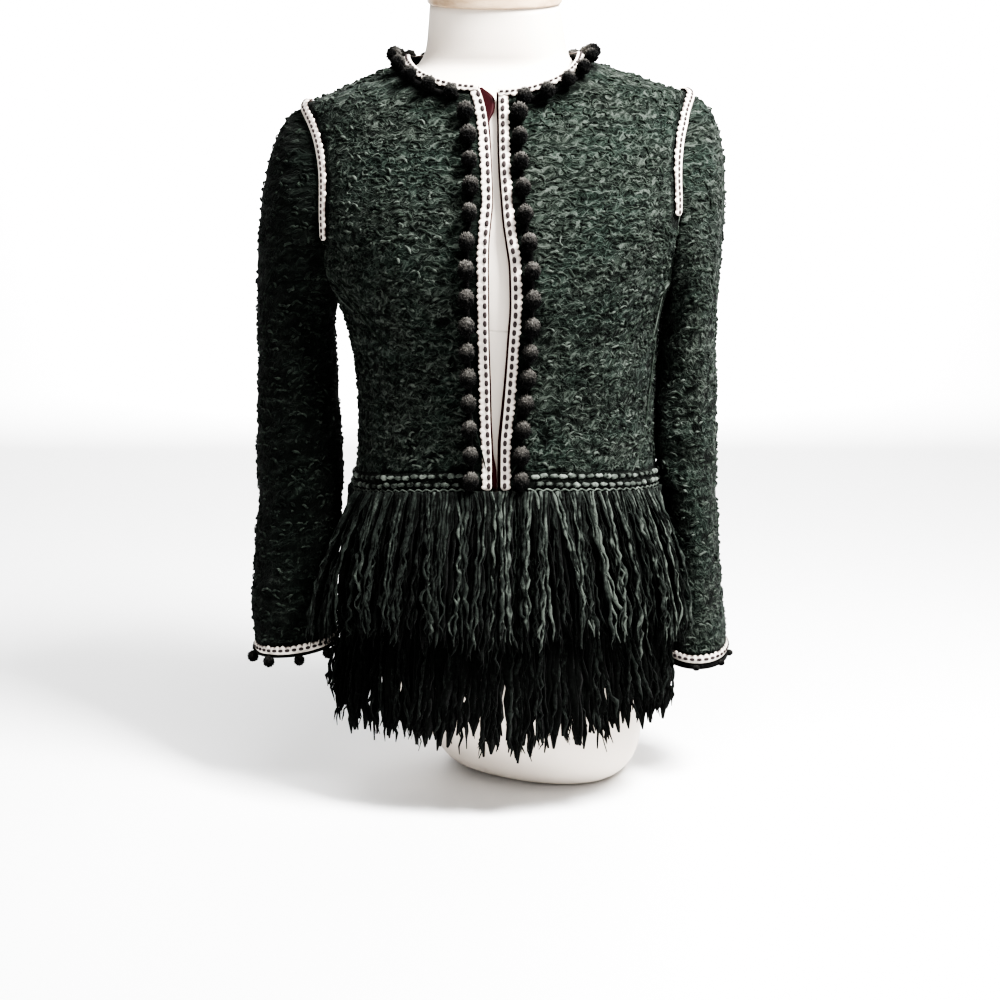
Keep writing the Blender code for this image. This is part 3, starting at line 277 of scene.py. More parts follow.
NECK_CORNER_X = {"right": -16.5, "left": 1.0}
ARMHOLE_REACH = {"front": 68, "back": 65}
ARMHOLE_EGG = 0.12
BACK_RISE = 2.4
ROUNDNESS = 2.2
BODY_HALF = (150, 115)
FRONT_EDGE = Table(
    """
    z   right left
    300  -4.4  3.3
    330  -4.3  3.3
    353  -4.9  3.5
    375  -5.8  5.3
    408  -6.3  8.1
    450  -7.4 11.0
    482  -7.6 13.0
    515  -7.8 12.2
    538  -7.2  9.0
    555  -5.6  6.6
    575  -4.0  4.8
    602  -4.9  2.8
    627  -6.4  1.9
    650  -9.0  1.6
    662 -11.6  1.4
    677 -16.5  1.0
    """
)
SLEEVES = {
    "right": Table(
        """
        z   middle_x middle_y half_width half_depth
        139   -200.5      -24       39.5         42
        158   -201.5      -22       40.5         43
        180   -203.0      -19       41.5         44
        215   -201.0      -14       41.0         45
        250   -199.0       -9       41.0         46
        285   -196.5       -4       41.5         47
        320   -195.5        0       42.5         49
        355   -196.0        3       41.0         49
        390   -196.3        5       39.5         51
        425   -197.0        7       38.5         53
        455   -197.5        8       37.0         55
        """
    ),
    "left": Table(
        """
        z   middle_x middle_y half_width half_depth
        133    199.0      -20       30.5         45
        154    199.2      -18       29.3         46
        180    197.0      -15       28.5         47
        212    195.5      -11       27.5         48
        250    193.9       -6       26.4         50
        285    193.2       -2       26.2         51
        320    191.2        2       26.8         52
        355    187.7        4       29.3         53
        390    186.9        6       29.6         54
        425    186.8        7       28.7         55
        455    188.0        8       27.0         56
        """
    ),
}
CUFF_SLOPE = {"right": 0.11, "left": 0.06}
CUFF_DIP, CUFF_REACH = {"right": 0.02, "left": 0.10}, 60
CAP_FULLNESS = {"right": 118, "left": 138}
UNDERARM_FULLNESS, CAP_FORWARD, CAP_FALL, CAP_DROP = 14, 0.55, 0.32, 205
print("tables:", len(JACKET.rows), "heights of the body,", len(SLEEVES["left"].rows), "of a sleeve")

# %% [markdown]
# ## Folds and creases
#
# Worn cloth hangs in a few large folds, drawn from where it is held to where it is full, and in smaller
# creases that cross them. Each is a soft trough between two places, or a ridge where its depth is below 0.
# They are placed one by one, uneven, and on the sides that can't be seen from in front as well. A sleeve's
# has one place and a reach round it, and its sign says which sleeve it is on.

# %% Folds by angle round the body and height, and round the sleeves
FOLD_SCALE, FOLD_ENDS = 2.4, 0.15
FOLDS = Table(
    """
    angle_1 z_1 angle_2 z_2 width depth
    -178    492    -128 452    15   4.0
    -172    468    -134 418    13   2.8
    -158    540    -122 500    14   2.4
    -3      488     -46 446    13   2.6
    -8      520     -44 498    11   1.8
    172     486     132 446    15   3.2
    8       484      50 450    15   3.0
    62      388     118 382    17   2.6
    74      352     128 346    14   1.8
    """
)
CREASES = Table(
    """
    angle_1 z_1 angle_2 z_2 width depth
    -172    512    -136 470     6   1.8
    -168    528    -132 494     5  -1.3
    -170    448    -140 404     6   1.5
    -158    404    -124 376     6   1.3
    -164    362    -126 352     6  -1.2
    -150    340    -112 336     5   1.2
    -10     470     -40 424     6   1.5
    -12     504     -48 474     5  -1.2
    -22     396     -58 372     6   1.4
    -16     360     -52 350     6  -1.1
    -34     336     -66 338     5   1.1
    -140    640    -118 618     6   1.2
    -38     642     -58 622     6   1.1
    168     520     136 486     6   1.6
    12      516      46 484     6   1.5
    56      420      96 408     7   1.5
    84      404     130 398     6  -1.3
    50      366      92 360     6   1.4
    96      372     134 364     6   1.3
    64      330     122 328     6  -1.2
    140     640     112 628     7   1.2
    36      644      66 630     7   1.2
    """
)
SLEEVE_FOLDS = Table(
    """
    side turn   z width depth
    -1     60 432    14   3.0
    -1    250 398    16   2.6
    -1    110 322    15   3.6
    -1     20 286    13   2.6
    -1     80 226    14   2.4
    -1    300 178    13   2.2
    1      70 446    13   3.0
    1     290 404    15   2.4
    1     100 330    14   3.2
    1      40 296    12   2.6
    1      85 214    14   2.4
    1     250 166    13   2.0
    """
)
FOLD_REACH, FOLD_TILT = math.radians(62), 12
SLEEVE_CREASES = Table(
    """
    side turn   z reach width depth
    -1     48 604    34     5   1.6
    -1     66 586    30     5  -1.2
    -1     36 566    38     5   1.4
    -1     78 520    44     6   1.5
    -1    330 496    40     6   1.3
    -1     96 466    48     6  -1.4
    -1    130 410    46     6   1.5
    -1     70 366    50     6   1.7
    -1    104 344    44     5  -1.3
    -1     64 304    42     5   1.6
    -1    260 330    50     7   1.5
    -1    120 258    46     6   1.4
    -1     50 200    40     6  -1.3
    -1    240 220    50     7   1.3
    1      44 612    36     5   1.4
    1      70 574    34     5   1.3
    1      84 528    46     6  -1.3
    1     320 500    44     6   1.3
    1     100 472    46     6   1.5
    1     124 416    46     6   1.4
    1      66 370    48     6   1.6
    1      98 350    42     5  -1.2
    1      60 312    42     5   1.5
    1     262 340    48     7   1.5
    1     112 262    46     6   1.3
    1     240 212    50     7   1.2
    """
)


def unit(vectors):
    return vectors / np.maximum(np.linalg.norm(vectors, axis=-1, keepdims=True), 1e-9)


def trough(table, angle, z):
    """Depth of all folds in a table: each falls off as a bell across its line and past its two ends."""
    turned = np.degrees(angle)
    deep = np.zeros_like(turned)
    for angle_1, z_1, angle_2, z_2, width, depth in table.rows:
        along = np.array([(angle_2 - angle_1) * FOLD_SCALE, z_2 - z_1])
        length = np.hypot(*along)
        from_start = np.stack([(turned - angle_1) * FOLD_SCALE, z - z_1])
        share = np.tensordot(along, from_start, 1) / length**2
        off = (along[0] * from_start[1] - along[1] * from_start[0]) / length
        inside = np.clip(share, 0, 1)
        ends = np.exp(-(((share - inside) * length / width) ** 2))
        full = np.sin(np.pi * (FOLD_ENDS + (1 - 2 * FOLD_ENDS) * inside))
        deep += depth * np.exp(-((off / width) ** 2)) * ends * full
    return deep


def ring_trough(turns, z, turn, fold_z, reach, width, depth):
    """One fold round a sleeve: a bell in height and a bell round it, tilted as it goes."""
    around = (turns - math.radians(turn) + np.pi) % TAU - np.pi
    tilted = fold_z + FOLD_TILT * np.sin(around)
    return depth * np.exp(-(((z - tilted) / width) ** 2) - (around / reach) ** 2)


# %% [markdown]
# ## The body's surface
#
# At each height the cloth follows a ring, a slightly squared ellipse with its own half sizes to the right,
# left, front and back. A place on the jacket is an angle round the body and a height, so every seam and every
# trim is a line of such places, and all of them lie on one surface.


# %% Rings and the jacket's outer face
def ring(angle, right, left, front, back):
    """x is the half width times cos to a power just under 1, y the half depth times sin to the same."""
    c, s = np.cos(angle), np.sin(angle)
    x = np.where(c < 0, right, left) * np.sign(c) * np.abs(c) ** (2 / ROUNDNESS)
    y = np.where(s < 0, front, back) * np.sign(s) * np.abs(s) ** (2 / ROUNDNESS)
    return x, y


def outwards_at(x, y):
    """The level direction square to a plain ellipse through this place."""
    return unit(np.stack([x / BODY_HALF[0] ** 2, y / BODY_HALF[1] ** 2, 0 * x], -1))


def body_ring(angle, z):
    return ring(angle, *(JACKET.at(side, z) for side in JACKET.names[1:]))


def jacket(angle, z):
    """The ring's point at this height, drawn in by the folds."""
    angle, z = np.broadcast_arrays(np.asarray(angle, float), np.asarray(z, float))
    x, y = body_ring(angle, z)
    return np.stack([x, y, z], -1) - outwards_at(x, y) * trough(FOLDS, angle, z)[..., None]


def angle_at_x(x, z):
    """The angle, in front, at which the ring has this x: the ring's formula turned round."""
    half = np.where(x < 0, JACKET.at("right", z), JACKET.at("left", z))
    return -np.arccos(np.sign(x) * np.minimum(np.abs(x) / half, 1) ** (ROUNDNESS / 2))


def armhole(side, face, turn):
    """The armhole's edge: an egg of height and depth round the arm, as an angle and a height."""
    top = SHOULDER_TIP_Z[side]
    z = (top + UNDERARM_Z) / 2 + (top - UNDERARM_Z) / 2 * np.cos(turn)
    y = ARMHOLE_REACH[face] * np.abs(np.sin(turn)) * (1 - ARMHOLE_EGG * np.cos(turn))
    off = np.arcsin(np.minimum(y / JACKET.at(face, z), 1) ** (ROUNDNESS / 2))
    angle = off if side == "left" else np.pi - off
    return np.stack([-angle if face == "front" else angle, z], -1)


def waist_z(angle):
    """Height of the waist seam: a blend of side and middle heights by the sine squared."""
    middle = np.sin(angle) ** 2
    sides = np.where(np.cos(angle) < 0, WAIST_Z["right"], WAIST_Z["left"])
    middles = np.where(np.sin(angle) < 0, WAIST_Z["front"], WAIST_Z["back"])
    return sides * (1 - middle) + middles * middle


# %% [markdown]
# ## The panels' places
#
# Each panel is a grid of places between its own edges: front edge and neckline on one side, side seam and
# armhole on the other. The grids are fine, a point for every 2 or 3 mm of cloth, so that relief can be raised
# on them later.

# %% Grids of places
SIDE_ROWS, ARMHOLE_ROWS, EDGE_ROWS = 9, 9, 13
PANEL_ROWS = SIDE_ROWS + ARMHOLE_ROWS
FRONT_COLUMNS, BACK_NECK_COLUMNS = 7, 6
FINE_UP, FINE_FRONT, FINE_BACK = 9, 14, 8


def fill_rows(start, end, shares):
    """Straight blends of angle and height between two edges, eased down to the waist seam at row 0."""
    rows = start[:, None, :] + (end - start)[:, None, :] * shares[None, :, None]
    fade = (1 - np.linspace(0, 1, len(start))) ** 2
    rows[:, :, 1] += fade[:, None] * (waist_z(rows[0, :, 0]) - rows[0, :, 1])[None, :]
    return rows


def side_edge(side, face):
    """Side seam, then the armhole's half from under the arm to the shoulder."""
    angle = 0.0 if side == "left" else (-math.pi if face == "front" else math.pi)
    heights = np.linspace(float(waist_z(angle)), UNDERARM_Z, SIDE_ROWS * FINE_UP + 1)
    seam = np.stack([np.full_like(heights, angle), heights], -1)
    share = np.linspace(0, 1, ARMHOLE_ROWS * FINE_UP + 1)[1:]
    return np.concatenate([seam, armhole(side, face, math.pi * (1 - share))])


def front_places(side):
    """A front, from its centre edge and neckline, column 0, to its side."""
    foot = float(waist_z(-math.pi / 2))
    z = np.linspace(foot, NECK_FRONT_Z[side], EDGE_ROWS * FINE_UP + 1)
    edge = np.stack([angle_at_x(FRONT_EDGE.at(side, z), z), z], -1)
    turn = np.linspace(0, math.pi / 2, (PANEL_ROWS - EDGE_ROWS) * FINE_UP + 1)[1:]
    corner_x, rise = NECK_CORNER_X[side], NECK_SIDE_Z[side] - NECK_FRONT_Z[side]
    side_x = SIGN[side] * float(JACKET.at(side, NECK_SIDE_Z[side]))
    x, z = corner_x + (side_x - corner_x) * np.sin(turn), NECK_FRONT_Z[side] + rise * (1 - np.cos(turn))
    inner = np.concatenate([edge, np.stack([angle_at_x(x, z), z], -1)])
    return fill_rows(inner, side_edge(side, "front"), np.linspace(0, 1, FRONT_COLUMNS * FINE_FRONT + 1))


def back_top():
    """The back's top edge: left shoulder seam, back neckline, right shoulder seam."""
    share = np.linspace(0, 1, FRONT_COLUMNS * FINE_BACK + 1)
    tips, necks = SHOULDER_TIP_Z, NECK_SIDE_Z
    left = np.stack([0 * share, tips["left"] + (necks["left"] - tips["left"]) * share], -1)
    right = np.stack([0 * share + math.pi, tips["right"] + (necks["right"] - tips["right"]) * share], -1)
    turn = np.linspace(0, math.pi, BACK_NECK_COLUMNS * FINE_BACK + 1)[1:-1]
    on_left = turn < math.pi / 2
    half = np.where(on_left, necks["left"], necks["right"])
    reach = np.where(on_left, JACKET.at("left", necks["left"]), JACKET.at("right", necks["left"]))
    z = half + (NECK_BACK_Z - half) * np.sin(turn)
    neck = np.stack([-angle_at_x(reach * np.cos(turn), z), z], -1)
    return np.concatenate([left, neck, right[::-1]])


def back_places():
    """The back, from the left side seam, column 0, to the right one."""
    columns = (2 * FRONT_COLUMNS + BACK_NECK_COLUMNS) * FINE_BACK
    rows = fill_rows(side_edge("left", "back"), side_edge("right", "back"), np.linspace(0, 1, columns + 1))
    risen = np.linspace(0, 1, len(rows)) ** BACK_RISE
    return rows + risen[:, None, None] * (back_top() - rows[-1])[None]


places = {"left": front_places("left"), "right": front_places("right"), "back": back_places()}
for name, grid in places.items():
    print(name, "panel:", grid.shape[0], "rows of", grid.shape[1], "places")


# %% [markdown]
# ## The sleeves' surface
#
# A sleeve is a stack of rings from the cuff to the biceps, and then a cap that runs up into the armhole. The
# cap's lines are cubic curves that leave the armhole outwards and arrive at the biceps straight down, as a
# set-in sleeve falls.


# %% Sleeves as grids of points
def sleeve_rings(side, turns, z):
    """An ellipse at each height, less its folds, with the cuff's plane tilted. Turn 0 is the outer side."""
    sign, table = SIGN[side], SLEEVES[side]
    middle_x, middle_y = table.at("middle_x", z), table.at("middle_y", z)
    drawn = np.zeros(np.broadcast_shapes(turns.shape, z.shape))
    for which, turn, fold_z, width, depth in SLEEVE_FOLDS.rows:
        if which == sign:
            drawn += ring_trough(turns, z, turn, fold_z, FOLD_REACH, width, depth)
    x = middle_x + sign * (table.at("half_width", z) - drawn) * np.cos(turns)
    y = middle_y - (table.at("half_depth", z) - drawn) * np.sin(turns)
    near_cuff = np.clip(1 - (z - table.rows[0, 0]) / CUFF_REACH, 0, 1)
    tilt = CUFF_SLOPE[side] * (x - middle_x) + CUFF_DIP[side] * (y - middle_y)
    return np.stack([x, y, z + near_cuff * tilt], -1)


def round_turns(count):
    """Even angles once round."""
    return TAU * np.arange(count) / count


SLEEVE_TURNS, RING_STEP, CAP_STEPS = 108, 2.6, 62


def sleeve_grid(side):
    """Rings first, then the cap: a cubic from each armhole place to the biceps' ring under it."""
    half, turns = SLEEVE_TURNS // 2, round_turns(SLEEVE_TURNS)
    low, high = SLEEVES[side].rows[0, 0], SLEEVES[side].rows[-1, 0]
    rings = sleeve_rings(side, turns[None], spread(low, high, int((high - low) / RING_STEP)))
    faces = (("front", turns[: half + 1]), ("back", turns[half + 1 :]))
    hole, biceps = jacket(*np.concatenate([armhole(side, *face) for face in faces]).T), rings[-1]
    under_arm = 0.5 - 0.5 * np.cos(turns)
    outwards = np.stack([0 * turns + SIGN[side], -CAP_FORWARD * np.sin(turns), 0 * turns], -1)
    start = outwards * (CAP_FULLNESS[side] * (1 - under_arm) + UNDERARM_FULLNESS)[:, None]
    start[:, 2] = -CAP_FULLNESS[side] * (CAP_FALL + (1 - CAP_FALL) * under_arm)
    reach = np.linalg.norm(hole - biceps, axis=1) / (SHOULDER_TIP_Z[side] - UNDERARM_Z)
    reach = np.minimum(reach, 1)[:, None]
    start, end = start * reach, np.array([0, 0, -CAP_DROP]) * reach
    t = spread(1, 0, CAP_STEPS)[1:, :, None]
    cap = hole * (1 + 2 * t) * (1 - t) ** 2 + biceps * t**2 * (3 - 2 * t)
    return np.concatenate([rings, cap + start * t * (1 - t) ** 2 - end * t**2 * (1 - t)])


def facing_out(grid, closed=False):
    """The way each point of a grid faces: square to its neighbours across and up."""
    across = np.roll(grid, -1, 1) - np.roll(grid, 1, 1) if closed else np.gradient(grid, axis=1)
    return unit(np.cross(across, np.gradient(grid, axis=0)))


SEAM_GAP, UNDERARM_SHIFT, SHIFT_ROWS = 0.3, 1.3, 4
sleeves = {}
for side, sign in SIGN.items():
    grid = sleeve_grid(side)
    clear = SEAM_GAP + (UNDERARM_SHIFT - SEAM_GAP) * (0.5 - 0.5 * np.cos(round_turns(SLEEVE_TURNS)))
    fade = np.clip(1 - np.arange(len(grid))[::-1] / SHIFT_ROWS, 0, 1)
    grid[:, :, 0] += sign * fade[:, None] * clear[None]
    sleeves[side] = grid[:, ::-1] if side == "left" else grid
    print("sleeve", side, "has", grid.shape[0], "rings")

# %% [markdown]
# ## Making meshes
#
# Every piece below is made from whole arrays. A mesh gets its points, its faces and a few numbers a point,
# such as how light its yarn is, which the materials read as attributes. The piece rides on the one rigid
# body and replaces the plain solid of the same name.


# %% Meshes from arrays
def add_piece(name, points, faces, finish, nodes, slot, **numbers):
    """One object at the origin, from points in millimetres."""
    mesh = bpy.data.meshes.new(name)
    mesh.from_pydata((np.asarray(points) * MM).tolist(), [], faces)
    for title, values in numbers.items():
        values = np.asarray(values, float)
        kind, key = ("FLOAT", "value") if values.ndim == 1 else ("FLOAT_VECTOR", "vector")
        mesh.attributes.new(title, kind, "POINT").data.foreach_set(key, values.ravel())
    mesh.shade_smooth()
    mesh.materials.append(finish)
    piece = bpy.data.objects.new(name, mesh)
    bpy.context.scene.collection.objects.link(piece)
    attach(piece, "root")
    if nodes:
        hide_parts(*nodes)
    triangles = sum(len(face) - 2 for face in faces)
    print(f"{name}: {triangles} triangles")
    return piece


def noise(across, up, seed):
    """Soft random hills from -1 to 1: random heights on a unit lattice, blended between by smooth steps."""
    size = 256
    heights = np.random.default_rng(seed).uniform(-1, 1, (size, size))
    i, j = np.floor(across).astype(int), np.floor(up).astype(int)
    s, t = across - i, up - j
    s, t = s * s * (3 - 2 * s), t * t * (3 - 2 * t)
    low, high = (
        heights[i % size, k % size] * (1 - s) + heights[(i + 1) % size, k % size] * s for k in (j, j + 1)
    )
    return low * (1 - t) + high * t


def on_grid(grid, row, column, closed=False):
    """Values of a grid between its rows and columns, blended from the four around each place."""
    rows, columns = grid.shape[:2]
    row = np.clip(row, 0, rows - 1.001)
    column = column % columns if closed else np.clip(column, 0, columns - 1.001)
    r, c = np.floor(row).astype(int), np.floor(column).astype(int)
    s, t = (row - r)[..., None], (column - c)[..., None]
    right = (c + 1) % columns
    low = grid[r, c] * (1 - t) + grid[r, right] * t
    return low * (1 - s) + (grid[r + 1, c] * (1 - t) + grid[r + 1, right] * t) * s


def shell_faces(rows, columns, skip, closed):
    """Faces of a closed shell: a fine outer grid, an inner one of every skip-th point, and a rim between."""
    outer = np.arange(rows * columns).reshape(rows, columns)
    row_picks = np.unique(np.append(np.arange(0, rows, skip), rows - 1))
    column_picks = np.arange(0, columns, skip)
    if not closed:
        column_picks = np.unique(np.append(column_picks, columns - 1))
    inner = rows * columns + np.arange(len(row_picks) * len(column_picks)).reshape(len(row_picks), -1)
    ends = np.append(column_picks, columns) if closed else column_picks

    def quads(grid, outwards):
        right = np.roll(grid, -1, 1)
        last = None if closed else -1
        a, b, c, d = grid[:-1, :last], right[:-1, :last], right[1:, :last], grid[1:, :last]
        order = (a, b, c, d) if outwards else (a, d, c, b)
        return np.stack(order, -1).reshape(-1, 4).tolist()

    faces = quads(outer, True) + quads(inner, False)
    rims = [(outer[0], inner[0], ends, True), (outer[-1], inner[-1], ends, False)]
    if not closed:
        rims += [(outer[:, 0], inner[:, 0], row_picks, False), (outer[:, -1], inner[:, -1], row_picks, True)]
    for edge, inner_edge, picks, turned in rims:
        for k in range(len(picks) - 1):
            span = [int(edge[j % len(edge)]) for j in range(picks[k], picks[k + 1] + 1)]
            start, stop = int(inner_edge[k]), int(inner_edge[(k + 1) % len(inner_edge)])
            faces.append([span[0], start, stop] + span[:0:-1] if turned else span + [stop, start])
    return faces, row_picks, column_picks


def tubes(path, side, up, wide, high, corners):
    """Many tubes at once, along paths of points: each ring is an ellipse with half sizes wide and high."""
    count, rings = path.shape[:2]
    turn = np.pi / 2 + round_turns(corners)
    across = side[:, :, None] * (wide[:, :, None] * np.cos(turn))[..., None]
    points = path[:, :, None] + across + up[:, :, None] * (high[:, :, None] * np.sin(turn))[..., None]
    index = np.arange(count * rings * corners).reshape(count, rings, corners)
    after = np.roll(index, -1, 2)
    walls = np.stack([index[:, :-1], index[:, 1:], after[:, 1:], after[:, :-1]], -1).reshape(-1, 4)
    faces = walls.tolist() + index[:, 0].tolist() + index[:, -1, ::-1].tolist()
    return points.reshape(-1, 3), faces


def frames_along(path, up):
    """Side and up directions square to each path, from a rough up."""
    along = unit(np.gradient(path, axis=1))
    side = unit(np.cross(along, up))
    return side, unit(np.cross(side, along))


def joined(*parts):
    """Several lists of points and faces as one."""
    points, faces, first = [], [], 0
    for more, sides in parts:
        points.append(more)
        faces += [[k + first for k in face] for face in sides]
        first += len(more)
    return np.concatenate(points), faces


# %% [markdown]
# ## Lines beside an edge
#
# Braids, tapes and pompoms lie at a set distance from an edge, measured over the cloth. Walking does this: a
# step along the surface is turned into a change of angle and height by solving two equations with the
# surface's own two directions, and a few small steps in a row follow its curve.


# %% Walking over the cloth
def surface_at(angle, z):
    """Point, the two directions along the surface, and the way it faces, from small differences."""
    turn, rise = 1e-3, 0.2
    by_angle = (jacket(angle + turn, z) - jacket(angle - turn, z)) / (2 * turn)
    by_height = (jacket(angle, z + rise) - jacket(angle, z - rise)) / (2 * rise)
    return jacket(angle, z), by_angle, by_height, unit(np.cross(by_angle, by_height))


def walk(line, direction, distance, steps=5):
    """New places, this far along the surface from the old ones."""
    angle, z = np.array(line, float).T
    distance = np.broadcast_to(distance, angle.shape)
    for _ in range(steps):
        _, by_angle, by_height, normal = surface_at(angle, z)
        flat = direction - normal * np.sum(direction * normal, -1, keepdims=True)
        move = unit(flat) * (distance / steps)[:, None]
        aa, ah = np.sum(by_angle**2, -1), np.sum(by_angle * by_height, -1)
        hh = np.sum(by_height**2, -1)
        ma, mh = np.sum(by_angle * move, -1), np.sum(by_height * move, -1)
        whole = aa * hh - ah**2
        angle = angle + (ma * hh - mh * ah) / whole
        z = z + (mh * aa - ma * ah) / whole
    return np.stack([angle, z], -1)


def run_of(points):
    """Length along a line of points, at each of them."""
    return np.concatenate([[0], np.cumsum(np.linalg.norm(np.diff(points, axis=0), axis=1))])


def between(stops, run, line):
    """Values at some lengths along a line, from those at its own points."""
    return np.stack([np.interp(stops, run, column) for column in line.T], -1)


def ringed(line):
    """A line that ends where it starts."""
    return np.concatenate([line, line[:1]])


def resampled(line, step, cut_start=0.0, cut_end=0.0):
    """The same line of places at even distances, with a length cut off at each end."""
    run = run_of(jacket(*line.T))
    stops = np.linspace(cut_start, run[-1] - cut_end, int((run[-1] - cut_start - cut_end) / step) + 1)
    return between(stops, run, line)


def beside(line, sign, distance, lift):
    """Points at this distance from an edge, to its inner side, and this high above the cloth."""
    point, _, _, normal = surface_at(*line.T)
    toward = sign * unit(np.cross(np.gradient(point, axis=0), normal))
    moved = walk(line, toward, distance)
    point, _, _, normal = surface_at(*moved.T)
    return point + normal * lift, normal


ONE_TURN = np.array([TAU, 0])


def neckline():
    """The neck's edge from the left front's corner round the back to the right front's."""
    shoulder = FRONT_COLUMNS * FINE_BACK
    left = places["left"][EDGE_ROWS * FINE_UP :, 0]
    right = places["right"][EDGE_ROWS * FINE_UP :, 0][::-1] + ONE_TURN
    return np.concatenate([left, places["back"][-1, shoulder + 1 : -shoulder - 1], right])


def armhole_line(side, rows=6):
    """The armhole's edge from in front, over the shoulder, to behind, for this many of its rows."""
    reach = math.pi * rows / ARMHOLE_ROWS
    turn = np.linspace(reach, 0, 80)
    front, back = armhole(side, "front", turn), armhole(side, "back", turn[::-1][1:])
    if side == "right":
        front = front + ONE_TURN
    return np.concatenate([front, back])


def waist_line():
    """The waist seam from the left front's edge round the back to the right front's edge."""
    first = float(places["left"][0, 0, 0])
    last = float(places["right"][0, 0, 0]) + TAU
    angle = np.linspace(first, last, 600)
    return np.stack([angle, waist_z(angle)], -1)


front_lines = {side: places[side][: EDGE_ROWS * FINE_UP + 1, 0] for side in SIGN}
for title, line in (("neck", neckline()), ("waist", waist_line()), ("front edge", front_lines["left"])):
    print(title, "is", round(run_of(jacket(*line.T))[-1]), "mm long")

# %% [markdown]
# ## Tweed
#
# Bouclé tweed is woven from looped and slubbed yarns: thick curls stand up from a dark ground. The ground is
# the shell below, with soft lumps raised on its grid and finer curls as bumps in its material. The largest
# slubs are pieces of real yarn laid on it in rows, because they catch the light, cast shadows and break the
# outline as only real relief does.


# %% Finishes of the tweed
WEFT_PITCH = 9.8
WOOL = {"Specular IOR Level": 0.12, "Sheen Weight": 0.03, "Sheen Roughness": 0.5}
TWEED_PIT, TWEED_DARK = (0.0015, 0.0028, 0.0018), (0.005, 0.0085, 0.006)
TWEED_MID, TWEED_GREEN, TWEED_LIGHT = (0.034, 0.041, 0.034), (0.021, 0.033, 0.026), (0.066, 0.076, 0.066)


def tweed_ground():
    """Curls: noise stretched along the weft, bent by a slower noise and folded into two sizes of ridge.

    The ridges are lit yarn, what lies between them is nearly black, and a row of weft stands out more about
    every 10 mm of height.
    """
    finish = Finish("tweed_ground")
    place = finish.attribute("weave", "Vector")
    slow = finish.noise(place, 95.0)
    shift = finish.node("CombineXYZ", {"X": slow - 0.5, "Y": slow - 0.5})
    bent = finish.node("VectorMath", {0: shift, 1: (0.010, 0.016, 0), 2: place}, operation="MULTIPLY_ADD")
    flat = finish.node("Mapping", {0: bent, "Scale": (0.6, 1.0, 1.0)})
    curls, loops = finish.noise(flat, 330.0, 2.0, 0.55), finish.noise(flat, 175.0, 1.0)
    thin = finish.math("MAXIMUM", 1 - finish.math("ABSOLUTE", curls * 6.0 - 3.0), 0.0)
    thick = finish.math("MAXIMUM", 1 - finish.math("ABSOLUTE", loops * 7.0 - 3.3), 0.0)
    up = finish.node("SeparateXYZ", {"Vector": place}, "Y")
    row = finish.math("SINE", up * (TAU / (WEFT_PITCH * MM)) + slow * 10.0)
    fine = finish.noise(place, 1500.0, 2.0)
    ridge = finish.math("MAXIMUM", thin * 0.8, thick) * (row * 0.14 + 0.92)
    shade = finish.attribute("shade")
    lit = finish.ramp(ridge + fine * 0.5, 0.50, 1.25) * finish.ramp(shade, 0.0, 0.42)
    patches = finish.noise(place, 24.0, 2.0)
    yarn = finish.mix(finish.ramp(patches, 0.35, 0.65), TWEED_MID, TWEED_GREEN)
    pit = finish.mix(shade, TWEED_PIT, TWEED_DARK)
    glint = finish.ramp(ridge + fine * 0.9, 1.0, 1.6) * lit
    colour = finish.mix(glint, finish.mix(lit, pit, yarn), TWEED_LIGHT)
    return finish.done(colour, 0.98 - lit * 0.1, ridge + fine * 0.35, 1.5, WOOL)


def tweed_yarn(name, dark, mid, light, blotchy=0.0):
    """Wool yarn: three shades by tone, its own plus painted light and shade on some pieces, with blotches,
    flecks a few mm long and fibres.
    """
    finish = Finish(name)
    place = finish.place()
    fibres, flecks = finish.noise(place, 1100.0, 3.0, 0.65), finish.noise(place, 330.0, 2.0)
    blotches = finish.noise(place, 130.0, 1.0)
    own = finish.attribute("tone") * (1 + (blotches - 0.5) * (blotchy * 4.0))
    tone = own + fibres * 0.7 + flecks * 0.9 - 0.8
    colour = finish.mix(finish.ramp(tone, 0.02, 0.5), dark, mid)
    colour = finish.mix(finish.ramp(tone, 0.5, 1.15), colour, light)
    return finish.done(colour, 0.97 - fibres * 0.1, fibres + flecks * 0.6, 0.7, WOOL)


ground = tweed_ground()
slub_yarn = tweed_yarn(
    "slub_yarn", (0.005, 0.008, 0.006), (0.024, 0.032, 0.025), (0.070, 0.081, 0.070), 0.6
)

# %% [markdown]
# A panel's shell is its grid pushed out by lumps and in by creases, but not where a braid or tape lies on
# it, and turned in a little at its seams. Slubs are laid on a loose brick pattern. Each is an arc of an
# ellipse, from nearly straight to a whole loop, that rises from the cloth and dives back in. Its tone follows
# the patch and the row of weft that it lies in. Painted light and shade spread it wider low down and on the
# shaded right side, and make the slubs on that side a little lighter.

# %% Shells and slubs
SHELL_THICK = 1.2
SEAM_DIP, SEAM_DIP_WIDE = 0.9, 2.2
SLUB_RINGS, SLUB_CORNERS, SLUB_FLATNESS, SLUB_SUNK = 9, 3, 0.7, 0.9
SLUB_LONG, SLUB_CURL, SLUB_DEEP, SLUB_THICK, SLUB_LEAN = (5.0, 11.0), (1.6, 4.0), (0.4, 1.5), (1.0, 1.8), 0.45
BARE_BELOW, USUAL_SHARE = -0.5, 80
LUMPS = (0.55, 9, 5), (0.35, 4.6, 3.4)
TONE_OWN, TONE_PATCH, TONE_KNOT, TONE_WEFT = 0.24, 0.30, 0.16, 0.13
PAINTED_SPREAD_BY_HEIGHT, SHADED_OVER = ((330, 620), (1.3, 0.45)), 30


